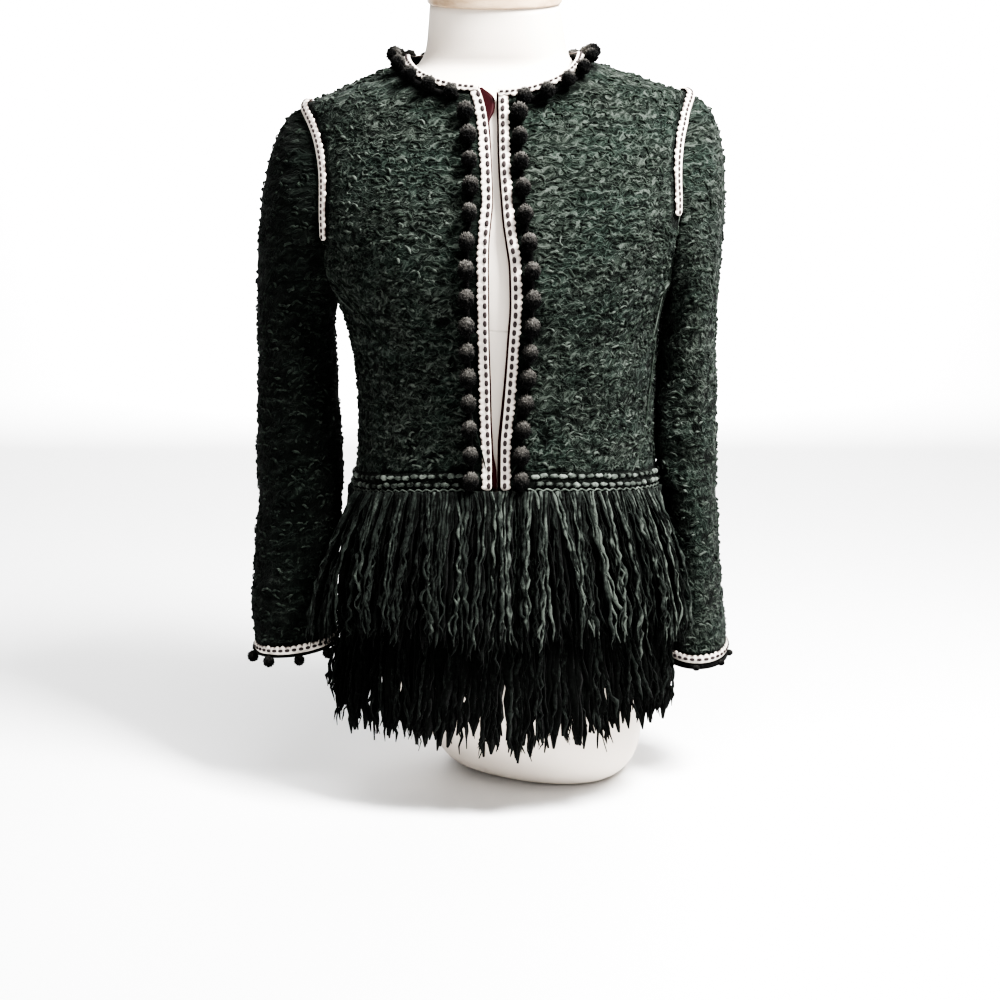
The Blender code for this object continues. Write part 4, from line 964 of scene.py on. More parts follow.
def add_cloth(name, outer, normals, weave, skip, closed, shade, shade_inside):
    """A panel's shell as a piece: its fine outer face, an inner one of every skip-th point, and their rim."""
    faces, *picks = shell_faces(*outer.shape[:2], skip, closed)
    picks = np.ix_(*picks)
    inner = (outer - normals * SHELL_THICK)[picks].reshape(-1, 3)
    points = np.concatenate([outer.reshape(-1, 3), inner])
    place = np.concatenate([weave.reshape(-1, 2), weave[picks].reshape(-1, 2)]) * MM
    place = np.pad(place, ((0, 0), (0, 1)))
    shade = np.append(shade, np.full(len(inner), shade_inside))
    return add_piece(f"{name}_cloth", points, faces, ground, [name], "tweed", weave=place, shade=shade)


def distance_to(grid, line):
    """From each point of a grid to the nearest point of a line."""
    least = np.full(grid.shape[:2], 1e9)
    for start in range(0, len(line), 24):
        away = np.linalg.norm(grid[:, :, None] - line[None, None, start : start + 24], axis=-1)
        least = np.minimum(least, away.min(-1))
    return least


def clear_of(grid, line, distance, soft=1.5):
    """0 within this distance of a line, and 1 beyond a soft edge."""
    return np.clip((distance_to(grid, line) - distance) / soft, 0, 1)


def each_of(count, chance):
    """A function that draws one number for each of a count, as a column."""
    return lambda low, high: chance.uniform(low, high, (count, 1))


def lay_slubs(grid, normals, keep, closed, pitch, seed):
    """Places on a jittered brick pattern, thinned where the grid's squares are small, and a curl at each."""
    chance = np.random.default_rng(seed)
    by_row, by_column = np.gradient(grid, axis=0), np.gradient(grid, axis=1)
    if closed:
        by_column = (np.roll(grid, -1, 1) - np.roll(grid, 1, 1)) / 2
    high, wide = np.linalg.norm(by_row, axis=-1), np.linalg.norm(by_column, axis=-1)
    usual_high, usual_wide = np.percentile(high, USUAL_SHARE), np.percentile(wide, USUAL_SHARE)
    rows = np.arange(0.5, len(grid) - 1, pitch[1] / usual_high)
    columns = np.arange(0, grid.shape[1] - 1, pitch[0] / usual_wide)
    row, column = np.meshgrid(rows, columns, indexing="ij")
    column = column + (np.arange(len(rows)) % 2)[:, None] * 0.5 * pitch[0] / usual_wide
    row = (row + chance.normal(0, 0.22, row.shape) * pitch[1] / usual_high).ravel()
    column = column.ravel() + chance.uniform(-0.45, 0.45, row.shape) * pitch[0] / usual_wide
    share = on_grid((high * wide)[..., None], row, column, closed)[:, 0] / (usual_high * usual_wide)
    clear = on_grid(keep[..., None], row, column, closed)[:, 0]
    across_mm, up_mm = column * usual_wide, row * usual_high
    bare = noise(across_mm / 11, up_mm / 9, seed + 7) < BARE_BELOW
    kept = (chance.random(row.shape) < share * 1.05) & (clear > 0.75) & ~bare
    row, column = row[kept], column[kept]
    patch = noise(across_mm[kept] / 17, up_mm[kept] / 13, seed + 8)[:, None]
    middle_up = on_grid(normals, row, column, closed)
    level = unit(np.cross(UP, middle_up))
    rise = np.cross(middle_up, level)
    slopes = [on_grid(by, row, column, closed) for by in (by_row, by_column)]
    r_level, c_level, r_rise, c_rise = (
        np.sum(slope * way, -1, keepdims=True) for way in (level, rise) for slope in slopes
    )
    each = each_of(len(row), chance)
    s = np.linspace(-1, 1, SLUB_RINGS)[None]
    length, curl, wander, deep = each(*SLUB_LONG), each(*SLUB_CURL), each(0, TAU), each(*SLUB_DEEP)
    straight = length / 2 * s + deep * np.sin(curl * s + wander)
    sideways = deep * each(0.7, 1.3) * np.cos(curl * s + wander) + each(-1.2, 1.2) * s
    lean = chance.normal(0, SLUB_LEAN, (len(row), 1))
    across = straight * np.cos(lean) - sideways * np.sin(lean)
    along_up = straight * np.sin(lean) + sideways * np.cos(lean)
    whole = r_level * c_rise - c_level * r_rise
    whole = np.where(np.abs(whole) < 1e-3, 1e-3, whole)
    at_row = row[:, None] + (c_rise * across - c_level * along_up) / whole
    at_column = column[:, None] + (r_level * along_up - r_rise * across) / whole
    thick = each(*SLUB_THICK)
    body = 0.42 + 0.58 * np.cos(s * math.pi / 2) ** 0.6
    knots = np.sin(each(3.5, 6.5) * s + each(0, 6.3))
    radius = thick * body * (1 + 0.28 * knots)
    lift = -SLUB_SUNK + (SLUB_SUNK + each(0.0, 1.0)) * (1 - s**4)
    lift = lift + 0.35 * np.sin(curl * 1.3 * s + each(0, 6.3))
    up = unit(on_grid(normals, at_row, at_column, closed))
    path = on_grid(grid, at_row, at_column, closed) + up * lift[..., None]
    points, faces = tubes(path, *frames_along(path, up), radius, radius * SLUB_FLATNESS, SLUB_CORNERS)
    # Painted light and shade: on the shaded right side and low down the slubs' tones spread wider, and on the
    # shaded side they sit a little lighter.
    shaded = np.clip(-path[:, :1, 0] / SHADED_OVER, 0, 1)
    painted_spread = np.interp(path[:, :1, 2], *PAINTED_SPREAD_BY_HEIGHT) * (1 + 0.9 * shaded)
    weft = TONE_WEFT * np.sin(TAU * path[..., 2] / WEFT_PITCH + 2.5 * patch)
    tone = chance.normal(0, TONE_OWN, (len(row), 1)) + TONE_PATCH * patch + TONE_KNOT * knots + weft
    tone = np.clip(0.44 + 0.08 * shaded + painted_spread * tone, 0, 1.4)
    print("  ", len(row), "slubs")
    return points, faces, np.repeat(tone.ravel(), SLUB_CORNERS)


def tweed_panel(name, grid, weave, keep, dips, closed, pitch, seed, creases, tone=1.0):
    """The shell and its slubs. keep is 1 where relief may rise, dips 1 at a seam, and tone is a painted shade
    on the whole panel.
    """
    normals = facing_out(grid, closed)
    across, up = weave[..., 0], weave[..., 1]
    lumps = sum(much * noise(across / w, up / h, seed + k) for k, (much, w, h) in enumerate(LUMPS))
    outer = grid + normals * (keep * (lumps + 0.25 - creases) - dips * SEAM_DIP)[..., None]
    # Painted light and shade: the ground is lighter on higher lumps and towards the shoulders, darker beside
    # the trims and wherever relief is held down, and darkened by the panel's tone.
    shade = 0.5 + lumps + 0.25 * np.clip((grid[..., 2] - UNDERARM_Z) / 120, 0, 1)
    shade = np.clip(shade * (0.2 + 0.8 * keep), 0, 1) * tone**2
    panel = add_cloth(name, outer, normals, weave, 4, closed, shade, 0)
    points, faces, tones = lay_slubs(outer, normals, keep, closed, pitch, seed)
    slubs = add_piece(f"{name}_slubs", points, faces, slub_yarn, [], "tweed", tone=tones * tone)
    return panel, slubs, grid


# %% [markdown]
# The relief stays clear of the trims and of the line where a sleeve lies on the body. The fronts and the back
# come first, and then the sleeves, of which the left one rests on the body just above the waist.

# %% The five panels
TRIM_CLEAR, TAPE_CLEAR, WAIST_CLEAR, CUFF_CLEAR, SLEEVE_NEAR = 12.6, 22.5, 19.0, 12.0, 2.6
SLEEVE_INSIDE = {"right": SLEEVE_TURNS // 2, "left": SLEEVE_TURNS // 2 - 1}
FRONT_PITCH, BACK_PITCH, SLEEVE_PITCH = (12.0, 4.9), (13.5, 6.4), (13.5, 6.2)
# Painted shade: each sleeve's cloth is darkened as a whole, the right one, away from the key lamp, much more.
SLEEVE_PAINTED_SHADE = {"left": 0.94, "right": 0.42}
SETTLES, SETTLE_MOST, SETTLE_GAP = (296, 304, 375, 405), 14.0, ((317, 322), (5.2, 1.4))
WEAVE_ROUND = 42
guards = [(jacket(*neckline().T)[::3], TAPE_CLEAR), (jacket(*waist_line().T)[::3], WAIST_CLEAR)]
guards += [(jacket(*armhole_line(side, 5).T)[::2], TRIM_CLEAR) for side in SIGN]
guards += [(sleeves[side][::2, SLEEVE_INSIDE[side]], SLEEVE_NEAR) for side in ("right", "left")]
panels = {}
for name, grid_places in places.items():
    if name == "right":
        grid_places = grid_places[:, ::-1]
    angle, z = grid_places[..., 0], grid_places[..., 1]
    grid = jacket(angle, z)
    if name == "back":
        panel, pitch, edges, seams = "back", BACK_PITCH, [], [grid[-1], grid[:, 0], grid[:, -1]]
    else:
        panel, pitch = f"front_{name}", FRONT_PITCH
        edges = [(jacket(*front_lines[name].T)[::2], TAPE_CLEAR)]
        seams = [grid[-1], grid[:, -1] if name == "left" else grid[:, 0]]
    keep = math.prod(clear_of(grid, *guard) for guard in guards + edges)
    near = np.minimum.reduce([distance_to(grid, seam[::2]) for seam in seams])
    dips = np.exp(-((near / SEAM_DIP_WIDE) ** 2)) * np.clip(keep + 0.2, 0, 1)
    weave = np.stack([np.degrees(angle) * FOLD_SCALE, z], -1)
    creases = trough(CREASES, angle, z)
    panels[panel] = tweed_panel(panel, grid, weave, keep, dips, False, pitch, 40 + len(panels), creases)


def settled(grid):
    """The left sleeve, its inner side moved in to rest on the body just above the waist."""
    half_width = JACKET.at("left", grid[..., 2])
    inner = np.clip(-facing_out(grid, True)[..., 0], 0, 1) ** 2
    share = inner * np.interp(grid[..., 2], SETTLES, (0, 1, 1, 0))
    gap = np.interp(grid[..., 2], *SETTLE_GAP)
    moved = grid.copy()
    moved[..., 0] -= share * np.clip(grid[..., 0] - half_width - gap, 0, SETTLE_MOST)
    return moved


for side, grid in sleeves.items():
    turns = round_turns(SLEEVE_TURNS)
    if side == "left":
        turns, grid = turns[::-1], settled(grid)
    run = np.cumsum(np.linalg.norm(np.diff(grid, axis=0), axis=-1), 0)
    run = np.concatenate([np.zeros((1, SLEEVE_TURNS)), run])
    keep = np.clip((run - CUFF_CLEAR) / 1.5, 0, 1) * np.clip((run[-1] - run) / 3.0, 0, 1)
    beyond_body = np.abs(grid[..., 0]) - JACKET.at(side, np.minimum(grid[..., 2], UNDERARM_Z))
    keep *= np.clip((beyond_body - 2.0) / 0.8, 0, 1)
    dips = np.exp(-(((run[-1] - run) / SEAM_DIP_WIDE) ** 2)) * 0.5
    creases = np.zeros(grid.shape[:2])
    for which, turn, fold_z, reach, width, depth in SLEEVE_CREASES.rows:
        if which == SIGN[side]:
            creases += ring_trough(turns[None], grid[..., 2], turn, fold_z, math.radians(reach), width, depth)
    weave = np.stack([np.broadcast_to(turns * WEAVE_ROUND, run.shape), run], -1)
    name, seed = f"sleeve_{side}", 60 + len(panels)
    panels[name] = tweed_panel(
        name, grid, weave, keep, dips, True, SLEEVE_PITCH, seed, creases, SLEEVE_PAINTED_SHADE[side]
    )

# %% [markdown]
# ## Peplum
#
# Under the waist seam a narrow wrap of the same tweed flares out over the hips. It hardly shows, but both
# tiers of fringe are sewn to it, and from below one looks up at its inside. The table says how far the peplum
# and the two tiers reach out at each angle round the waist.

# %% The peplum's surface and piece
PEPLUM_LENGTH, PEPLUM_CURVE, PEPLUM_ROWS, PEPLUM_SHADE = 108, 1.3, 27, 0.4
FLARE = Table(
    """
    angle peplum upper lower
    -92       13    40    20
    -62       14    42    21
    -42       11    44    27
    -27        4    48    27
    -17       -1    20    12
    -9        -3     3     3
    14        -3     5     2
    34         4    16     9
    60        11    34    18
    90        12    37    20
    120       11    34    18
    146        4    16     9
    166       -3   2.5     3
    188       -3   2.5     3
    196       -1    14     9
    206        3    58    29
    222       10    46    29
    242       14    43    21
    272       13    40    20
    """
)


def body_outwards(angle):
    """The level direction out of the body at the waist."""
    return outwards_at(*body_ring(angle, WAIST_Z["back"]))


waist = resampled(waist_line(), 4.0)
waist_top, waist_out = jacket(*waist.T), body_outwards(waist[:, 0])
share = spread(1, 0, PEPLUM_ROWS + 1)
reach = FLARE.at("peplum", np.degrees(waist[:, 0]))[None] * share**PEPLUM_CURVE
peplum_grid = waist_top[None] + waist_out[None] * reach[..., None]
peplum_grid[..., 2] -= PEPLUM_LENGTH * share
peplum_normals = facing_out(peplum_grid)
waist_run = run_of(waist_top)
weave = np.stack(np.broadcast_arrays(waist_run[None], -PEPLUM_LENGTH * share), -1)
lumps = 0.4 * noise(weave[..., 0] / 9, weave[..., 1] / 5, 71)
outer = peplum_grid + peplum_normals * (lumps * np.clip(share * 6, 0, 1))[..., None]
shade = np.full(lumps.shape, PEPLUM_SHADE)
peplum = add_cloth("peplum", outer, peplum_normals, weave, 2, False, shade, PEPLUM_SHADE)


def on_peplum(drop, stops):
    """Points, facings and angles on the peplum, at a drop from the waist and at lengths along the waist."""
    row = (1 - np.asarray(drop) / PEPLUM_LENGTH) * PEPLUM_ROWS
    column = np.interp(stops, waist_run, np.arange(len(waist_run)))
    point = on_grid(peplum_grid, row, column)
    return point, unit(on_grid(peplum_normals, row, column)), np.interp(stops, waist_run, waist[:, 0])


# %% [markdown]
# ## Fringe
#
# The fringe is tweed unravelled to its yarns. They hang in clumps: yarns that start side by side wander
# towards a common line, cross on the way and part again near their ends. Each keeps the waves that weaving
# pressed into it, and swells and thins as slub yarn does. Each tier is three layers, from thick yarns behind,
# painted dark as the shade within the fringe, to thin light ones in front, and its reach and length follow
# the same table as its plain solid.
#
# A layer's numbers are its count of yarns, the rings and corners of each, their thickness, how far out in the
# tier they hang, how many make a clump, and their tone, which for the back layers is painted shade.

# %% Two tiers of yarn
LIFT, FRINGE_THICK, FLARE_QUICKNESS = 0.8, 2.4, 1.7
TIERS = {
    "upper": {"drop": 0.2, "length": 135, "shorter_sides": 0, "seed": 11},
    "lower": {"drop": 96.0, "length": 136, "shorter_sides": 46, "seed": 23},
}
YARN_LAYERS = {
    "upper": (
        (260, 11, 3, 2.3, (0.70, 0.90), 1, 0.03),
        (320, 22, 3, 1.25, (0.86, 1.0), 5, 0.26),
        (225, 26, 4, 1.45, (0.98, 1.06), 4, 0.66),
    ),
    "lower": (
        (440, 10, 3, 3.9, (0.62, 0.95), 1, 0.01),
        (320, 18, 3, 1.6, (0.84, 1.0), 5, 0.07),
        (110, 22, 4, 1.4, (0.97, 1.05), 3, 0.22),
    ),
}
GAP_REACH, GAP_DRIFT = 30.0, 9.0
YARN_WAVE, YARN_SWING, YARN_PARTS = (0.4, 2.6), 3.4, (-6.5, 6.5)
FRINGE_PAINTED_SHADE = (-60, 20), (0.62, 1.0)
fringe_yarn = tweed_yarn(
    "fringe_yarn", (0.0015, 0.002, 0.0015), (0.017, 0.021, 0.018), (0.068, 0.078, 0.068), 0.45
)


def yarns(tier, seed, count, rings, corners, thick, depth, clump_size, layer_tone_and_shade):
    """One layer of yarns: the tier's curve, pulled to a clump's line, plus waves that grow downwards.

    Near the two front edges the yarns drift towards each other, so that the fringe closes over the opening.
    """
    spec = TIERS[tier]
    chance = np.random.default_rng(seed)
    each = each_of(count, chance)
    stops = (np.arange(count) + 0.5) / count * (waist_run[-1] - 3) + 1.5
    stops = stops + chance.uniform(-1, 1, count) * waist_run[-1] / count / 2
    level = each(*depth)
    root, facing, angle = on_peplum(spec["drop"] + 3 * (1 - level[:, 0]) / 0.38, stops)
    out = body_outwards(angle)
    side = unit(np.cross(UP, out))
    share = np.linspace(0, 1, rings)[None]
    reach = FLARE.at(tier, np.degrees(angle))[:, None] * level
    length = spec["length"] + 6.5 * np.sin(angle * 6 + spec["seed"])[:, None] + each(-13, 9)
    length -= spec["shorter_sides"] * np.abs(np.cos(angle))[:, None] ** 3
    clump = np.arange(count) // clump_size
    clump_count = clump.max() + 1

    def by_clump(spread_by):
        return chance.normal(0, spread_by, clump_count)[clump][:, None]

    middles = np.array([stops[clump == k].mean() for k in range(clump_count)])
    pull = (middles[clump] - stops)[:, None] * each(0.55, 1.15)
    drift, depth_drift = by_clump(1.0 if clump_size == 1 else 6.0), by_clump(1.3)
    length = length + by_clump(5)
    gather = np.sin(np.pi * np.clip(share * each(0.75, 1.2), 0, 1)) ** 0.6
    swing = YARN_SWING * np.sin(angle[:, None] * 5 + spec["seed"] + 2.2 * share)
    from_edges = np.clip(1 - np.array([stops, waist_run[-1] - stops]) / GAP_REACH, 0, 1)
    to_gap = (from_edges[0] - from_edges[1])[:, None]
    grows = share * (2 - share)
    amount, wave = each(*YARN_WAVE), each(13, 34)
    sway = pull * gather + share * (drift + swing) + each(*YARN_PARTS) * share**2
    sway = sway - GAP_DRIFT * to_gap * (0.45 + 0.55 * np.minimum(share * 12, 1))
    sway = sway + amount * grows * np.sin(TAU * (length * share / wave + each(0, 1)))
    bulge = amount * 0.8 * grows * np.sin(TAU * (length * share / (wave * 1.2) + each(0, 1)))
    forward = reach * (1 - (1 - share) ** FLARE_QUICKNESS) + bulge + share * depth_drift
    start = root + facing * (LIFT + 0.4 + FRINGE_THICK * 1.4 * level)
    path = start[:, None] + out[:, None] * forward[..., None] + side[:, None] * sway[..., None]
    path[..., 2] -= length * share
    path = path + chance.normal(0, 0.5, path.shape) * np.minimum(share * 8, 1)[..., None]
    frames = frames_along(path, np.broadcast_to(out[:, None], path.shape))
    swell = np.sin(TAU * (share * each(3, 8) + each(0, 1))) * np.sin(each(7, 12) * share + each(0, 6))
    taper = 1 - 0.75 * np.clip((share - 0.9) / 0.1, 0, 1)
    radius = thick * each(0.65, 1.25) * (1 + 0.45 * swell) * taper * chance.uniform(0.7, 1.35, swell.shape)
    points, faces = tubes(path, *frames, radius, radius * 0.8, corners)
    # Painted shade: the back layers' low tone darkens them as the shade inside the fringe, and yarns towards
    # the wearer's right, away from the key lamp, are dimmed.
    tone = chance.normal(layer_tone_and_shade, 0.32 * layer_tone_and_shade + 0.02, (count, 1)) + 0.4 * layer_tone_and_shade * swell
    tone = tone * np.interp(path[:, :1, 0], *FRINGE_PAINTED_SHADE)
    return (points, faces), np.repeat(np.clip(tone, 0, 1.1).ravel(), corners)


for tier, layers in YARN_LAYERS.items():
    first_seed = TIERS[tier]["seed"]
    parts, tones = zip(*(yarns(tier, first_seed + 100 * k, *layer) for k, layer in enumerate(layers)))
    name, tone = f"fringe_{tier}", np.concatenate(tones)
    add_piece(f"{name}_yarns", *joined(*parts), fringe_yarn, [name], "fringe_yarn", tone=tone)

# %% [markdown]
# ## White braid
#
# The edging is a cotton picot braid: small rounded teeth along its outer edge, and a row of black stitches
# let into it. The braid is one closed profile carried along the seam, whose width swells at each tooth and
# whose top is ribbed by its own threads. The stitches are small pads of black yarn that lie on it.

# %% Braids
BRAID_WIDTH, NECK_BRAID_WIDTH, BRAID_THICK, BRAID_STEP, END_ROUND = 11.0, 8.5, 1.6, 1.05, 3.0
SHOULDER_LIFT = 2.3
PICOT, PICOT_DEEP, THREAD_PITCH = 5.4, 1.9, 2.1
STITCH_PITCH = {"front": 8.0, "neck": 5.0, "armhole": 5.4, "cuff": 6.4}
STITCH_AT = {"front_right": 2.9, "front_left": 4.0, "neck": 3.6, "armhole": 5.6, "cuff": 4.4}
STITCH_HALF_WIDE, STITCH_HALF_LONG, STITCH_PROUD = 0.26, 0.33, 0.45
STITCH_RINGS, STITCH_CORNERS = 5, 6
ARMHOLE_CUT = {"right": 14, "left": 33}
ACROSS = np.linspace(0, 1, 12)


def cotton(name, colour, painted_shade_and_mottle):
    """Cotton thread: fine ribs of twist, and grey painted shade in the hollows between the threads and
    picots, mottled at random.
    """
    finish = Finish(name)
    place = finish.place()
    threads = finish.noise(place, 1300.0, 2.0)
    patches = finish.noise(place, 260.0, 2.0)
    shade = finish.ramp(finish.attribute("tone") + threads * 0.5 + patches * 0.5, 0.55, 1.05)
    return finish.done(finish.mix(shade, painted_shade_and_mottle, colour), 0.9 - threads * 0.1, threads, 0.4)


# The second colour of each is its painted shade, mixed in where the braid's tone is low.
white_cotton = cotton("white_cotton", (0.64, 0.585, 0.53), (0.13, 0.10, 0.09))
black_cotton = cotton("black_cotton", (0.026, 0.017, 0.017), (0.009, 0.006, 0.006))


def loft(loops, closed=False):
    """Faces round one or more rows of loops of points, and their flat ends where they aren't closed."""
    index = np.arange(loops.size // 3).reshape(-1, *loops.shape[-3:-1])
    along, here = np.roll(index, -1, 1), index
    if not closed:
        along, here = along[:, :-1], here[:, :-1]
    walls = np.stack([here, np.roll(here, -1, 2), np.roll(along, -1, 2), along], -1).reshape(-1, 4)
    ends = [] if closed else index[:, 0, ::-1].tolist() + index[:, -1].tolist()
    return loops.reshape(-1, 3), walls.tolist() + ends


def strip(line, sign, distances, heights, lift, foot_step=-1):
    """Loops of a strip beside an edge: its top at these distances and heights, then its foot's points."""
    pairs = [beside(line, sign, distance, lift) for distance in distances]
    tops = [point + normal * height for (point, normal), height in zip(pairs, heights)]
    loops = np.stack(tops + [point for point, _ in pairs][::foot_step], 1)
    return loops[:, ::-1] if sign > 0 else loops


def braid_profile(run, width):
    """Distances from the edge, heights and tones of the points: uneven picots outside, threads across."""
    teeth = run / PICOT
    uneven = 0.62 + 0.38 * np.sin(np.floor(teeth) * 2.4 + np.sin(np.floor(teeth) * 0.7) * 3)
    tooth = ((1 - np.abs(2 * (teeth % 1) - 1)) ** 0.9 * uneven)[:, None]
    far = width - PICOT_DEEP + PICOT_DEEP * tooth
    distance = 0.2 + (far - 0.2) * ACROSS[None]
    dome = 1 - np.abs(2 * ACROSS - 1)[None] ** 3
    rib = 0.30 * np.sin(TAU * run / THREAD_PITCH)[:, None] * np.sin(np.pi * ACROSS)[None]
    two_rows = 0.28 * np.cos(TAU * (ACROSS - 0.1) * 2.4)[None]
    outside = np.clip((ACROSS[None] - 0.62) / 0.38, 0, 1)
    lobe = 0.7 * tooth * np.sin(np.pi * outside) - 0.35 * outside * (1 - tooth)
    height = 0.35 + (BRAID_THICK - 0.35) * dome + (rib + two_rows + lobe) * dome
    # Painted shade: the tone is low between the picots at the outer edge, in the troughs of the ribs, and on
    # the foot.
    tone = 1 - outside**0.7 * (1 - tooth) * 1.1 + rib * 0.5
    return distance, height, np.concatenate([tone, np.zeros((len(run), 2))], 1)


def stitch_places(first, last, pitch):
    """Lengths along a braid of each stitch's rings, one stitch a row."""
    half = pitch * STITCH_HALF_LONG
    return np.arange(first, last, pitch)[:, None] + half * np.linspace(-1, 1, STITCH_RINGS)


def add_stitches(name, path, up, pitch):
    """Pads of black yarn, one a row of points, that swell from their ends to their middle."""
    round_off = np.sqrt(np.clip(1 - np.linspace(-0.93, 0.93, STITCH_RINGS) ** 2, 0, 1))
    wide = np.broadcast_to(STITCH_HALF_WIDE * pitch * (0.35 + 0.65 * round_off), path.shape[:2])
    points, faces = tubes(path, *frames_along(path, up), wide, 0.35 + wide * 0.35, STITCH_CORNERS)
    tone = np.ones(len(points))
    return add_piece(f"{name}_stitches", points, faces, black_cotton, [], "braid_black", tone=tone)


def add_band(name, loops, tones, closed=False):
    """The white part of a braid."""
    points, faces = loft(loops, closed)
    return add_piece(f"{name}_band", points, faces, white_cotton, [name], "braid_white", tone=tones.ravel())


def braid(name, line, sign, width, lift, stitch_at, pitch, rounded=(True, True)):
    """The braid and its black stitches, along a line of places. Its ends are rounded where they are free."""
    line = resampled(line, BRAID_STEP)
    run = run_of(jacket(*line.T))
    distance, height, tones = braid_profile(run, width)
    from_ends = [np.where(free, far, np.inf) for free, far in zip(rounded, (run, run[-1] - run))]
    ends = np.sqrt(np.clip(np.minimum(*from_ends) / END_ROUND, 0, 1) * 0.9 + 0.1)[:, None]
    middle = distance.mean(1, keepdims=True)
    distance, height = middle + (distance - middle) * ends**0.5, height * ends
    loops = strip(line, sign, distance.T, height.T[..., None], lift, 1 - len(ACROSS))
    band = add_band(name, loops, tones[:, ::-1] if sign > 0 else tones)
    steps = stitch_places(pitch / 2 + 0.6, run[-1] - pitch / 2, pitch)
    flat = between(steps.ravel(), run, line)
    placed = beside(flat, sign, stitch_at, lift + BRAID_THICK + STITCH_PROUD)
    return band, add_stitches(name, *(a.reshape(*steps.shape, 3) for a in placed), pitch)


front_braids, armhole_braids = {}, {}
for side, sign in SIGN.items():
    line = resampled(front_lines[side], 1.0, 0.0, NECK_BRAID_WIDTH - 4.5)
    at, pitch = STITCH_AT[f"front_{side}"], STITCH_PITCH["front"]
    front_braids[side] = braid(f"braid_front_{side}", line, sign, BRAID_WIDTH, LIFT, at, pitch, (True, False))
at, pitch = STITCH_AT["neck"], STITCH_PITCH["neck"]
neck_braid = braid("braid_neck", neckline(), 1, NECK_BRAID_WIDTH, SHOULDER_LIFT, at, pitch, (False, False))
at, pitch = STITCH_AT["armhole"], STITCH_PITCH["armhole"]
for side, sign in SIGN.items():
    line = resampled(armhole_line(side), 1.0, ARMHOLE_CUT[side], ARMHOLE_CUT[side])
    armhole_braids[side] = braid(f"braid_armhole_{side}", line, -sign, BRAID_WIDTH, SHOULDER_LIFT, at, pitch)


# %% [markdown]
# The cuffs' braid goes all round the sleeve, so its profile is a closed loop of loops.


# %% Cuff braids
CUFF_BRAID, CUFF_LIFT, CUFF_STEP = (1.0, 10.5), 0.3, 1.1


def cuff_frame(side):
    """The sleeve's lowest ring as it goes round, with the ways up and out of the cloth."""
    grid = sleeves[side]
    return grid[0], unit(grid[3] - grid[0]), facing_out(grid, True)[0]


for side in SIGN:
    frame_round = cuff_frame(side)
    ring_run = run_of(ringed(frame_round[0]))
    steps = int(ring_run[-1] / CUFF_STEP)
    stops = ring_run[-1] * np.arange(steps) / steps
    base, rise, facing = (between(stops, ring_run, ringed(a)) for a in frame_round)
    pitch = ring_run[-1] / round(ring_run[-1] / PICOT)
    distance, height, tones = braid_profile(stops * PICOT / pitch, CUFF_BRAID[1] - CUFF_BRAID[0])
    distance = CUFF_BRAID[0] + distance
    tops = base[:, None] + rise[:, None] * distance[..., None]
    tops = tops + facing[:, None] * (CUFF_LIFT + height)[..., None]
    feet = [base + rise * distance[:, [k]] + facing * CUFF_LIFT for k in (-1, 0)]
    loops = np.concatenate([tops, np.stack(feet, 1)], 1)[:, ::-1]
    node, pitch = f"braid_cuff_{side}", STITCH_PITCH["cuff"]
    band = add_band(node, loops, tones[:, ::-1], closed=True)
    around = stitch_places(pitch / 2, ring_run[-1], pitch) % ring_run[-1]
    line = base + rise * (CUFF_BRAID[0] + STITCH_AT["cuff"])
    line = line + facing * (CUFF_LIFT + BRAID_THICK + STITCH_PROUD)
    path, up = (between(around, np.append(stops, ring_run[-1]), ringed(a)) for a in (line, facing))
    add_stitches(node, path, up, pitch)

# %% [markdown]
# ## Black braid over the waist seam
#
# Two rows of bobbles, each a tight oblong knot of yarn, and a thin wavy cord under them cover the join of
# jacket and fringe. They sit on a flat black tape.

# %% Waist braid
WAIST_CUT, WAIST_TAPE, WAIST_TAPE_THICK, TAPE_TONE = 24.8, (-0.9, 5.0, 11.0, 17.2), 0.9, 0.02
BEAD_PITCH, BEAD_LONG, BEAD_HALF_WIDE, BEAD_HALF_HIGH, BEAD_CORNERS = 9.0, 8.4, 2.4, 1.9, 7
BEAD_ROWS = (13.6, 0.3), (6.0, 0.8)
BEAD_SHAPE = np.array([[0.40, 0.92, 1.0, 0.92, 0.40]])
CORD_RADIUS, CORD_WAVE, CORD_CORNERS = 1.15, 8.2, 5
BEAD_LIFT, CORD_LIFT = 1.6, 1.9
bobble_yarn = tweed_yarn(
    "bobble_yarn", (0.003, 0.004, 0.003), (0.060, 0.069, 0.060), (0.15, 0.167, 0.148), 0.8
)
line = resampled(waist_line(), 2.2, WAIST_CUT, WAIST_CUT)
run = run_of(jacket(*line.T))
chance = np.random.default_rng(17)
parts = [loft(strip(line, -1, WAIST_TAPE, [WAIST_TAPE_THICK] * len(WAIST_TAPE), LIFT))]
tones = [np.full(len(parts[0][0]), TAPE_TONE)]


def beside_each(flat, distance, lift):
    """As beside, for places that needn't follow one another: the way up from the seam is nearly upright."""
    moved = walk(flat, np.broadcast_to(UP, (len(flat), 3)), distance)
    point, _, _, normal = surface_at(*moved.T)
    return point + normal * lift, normal


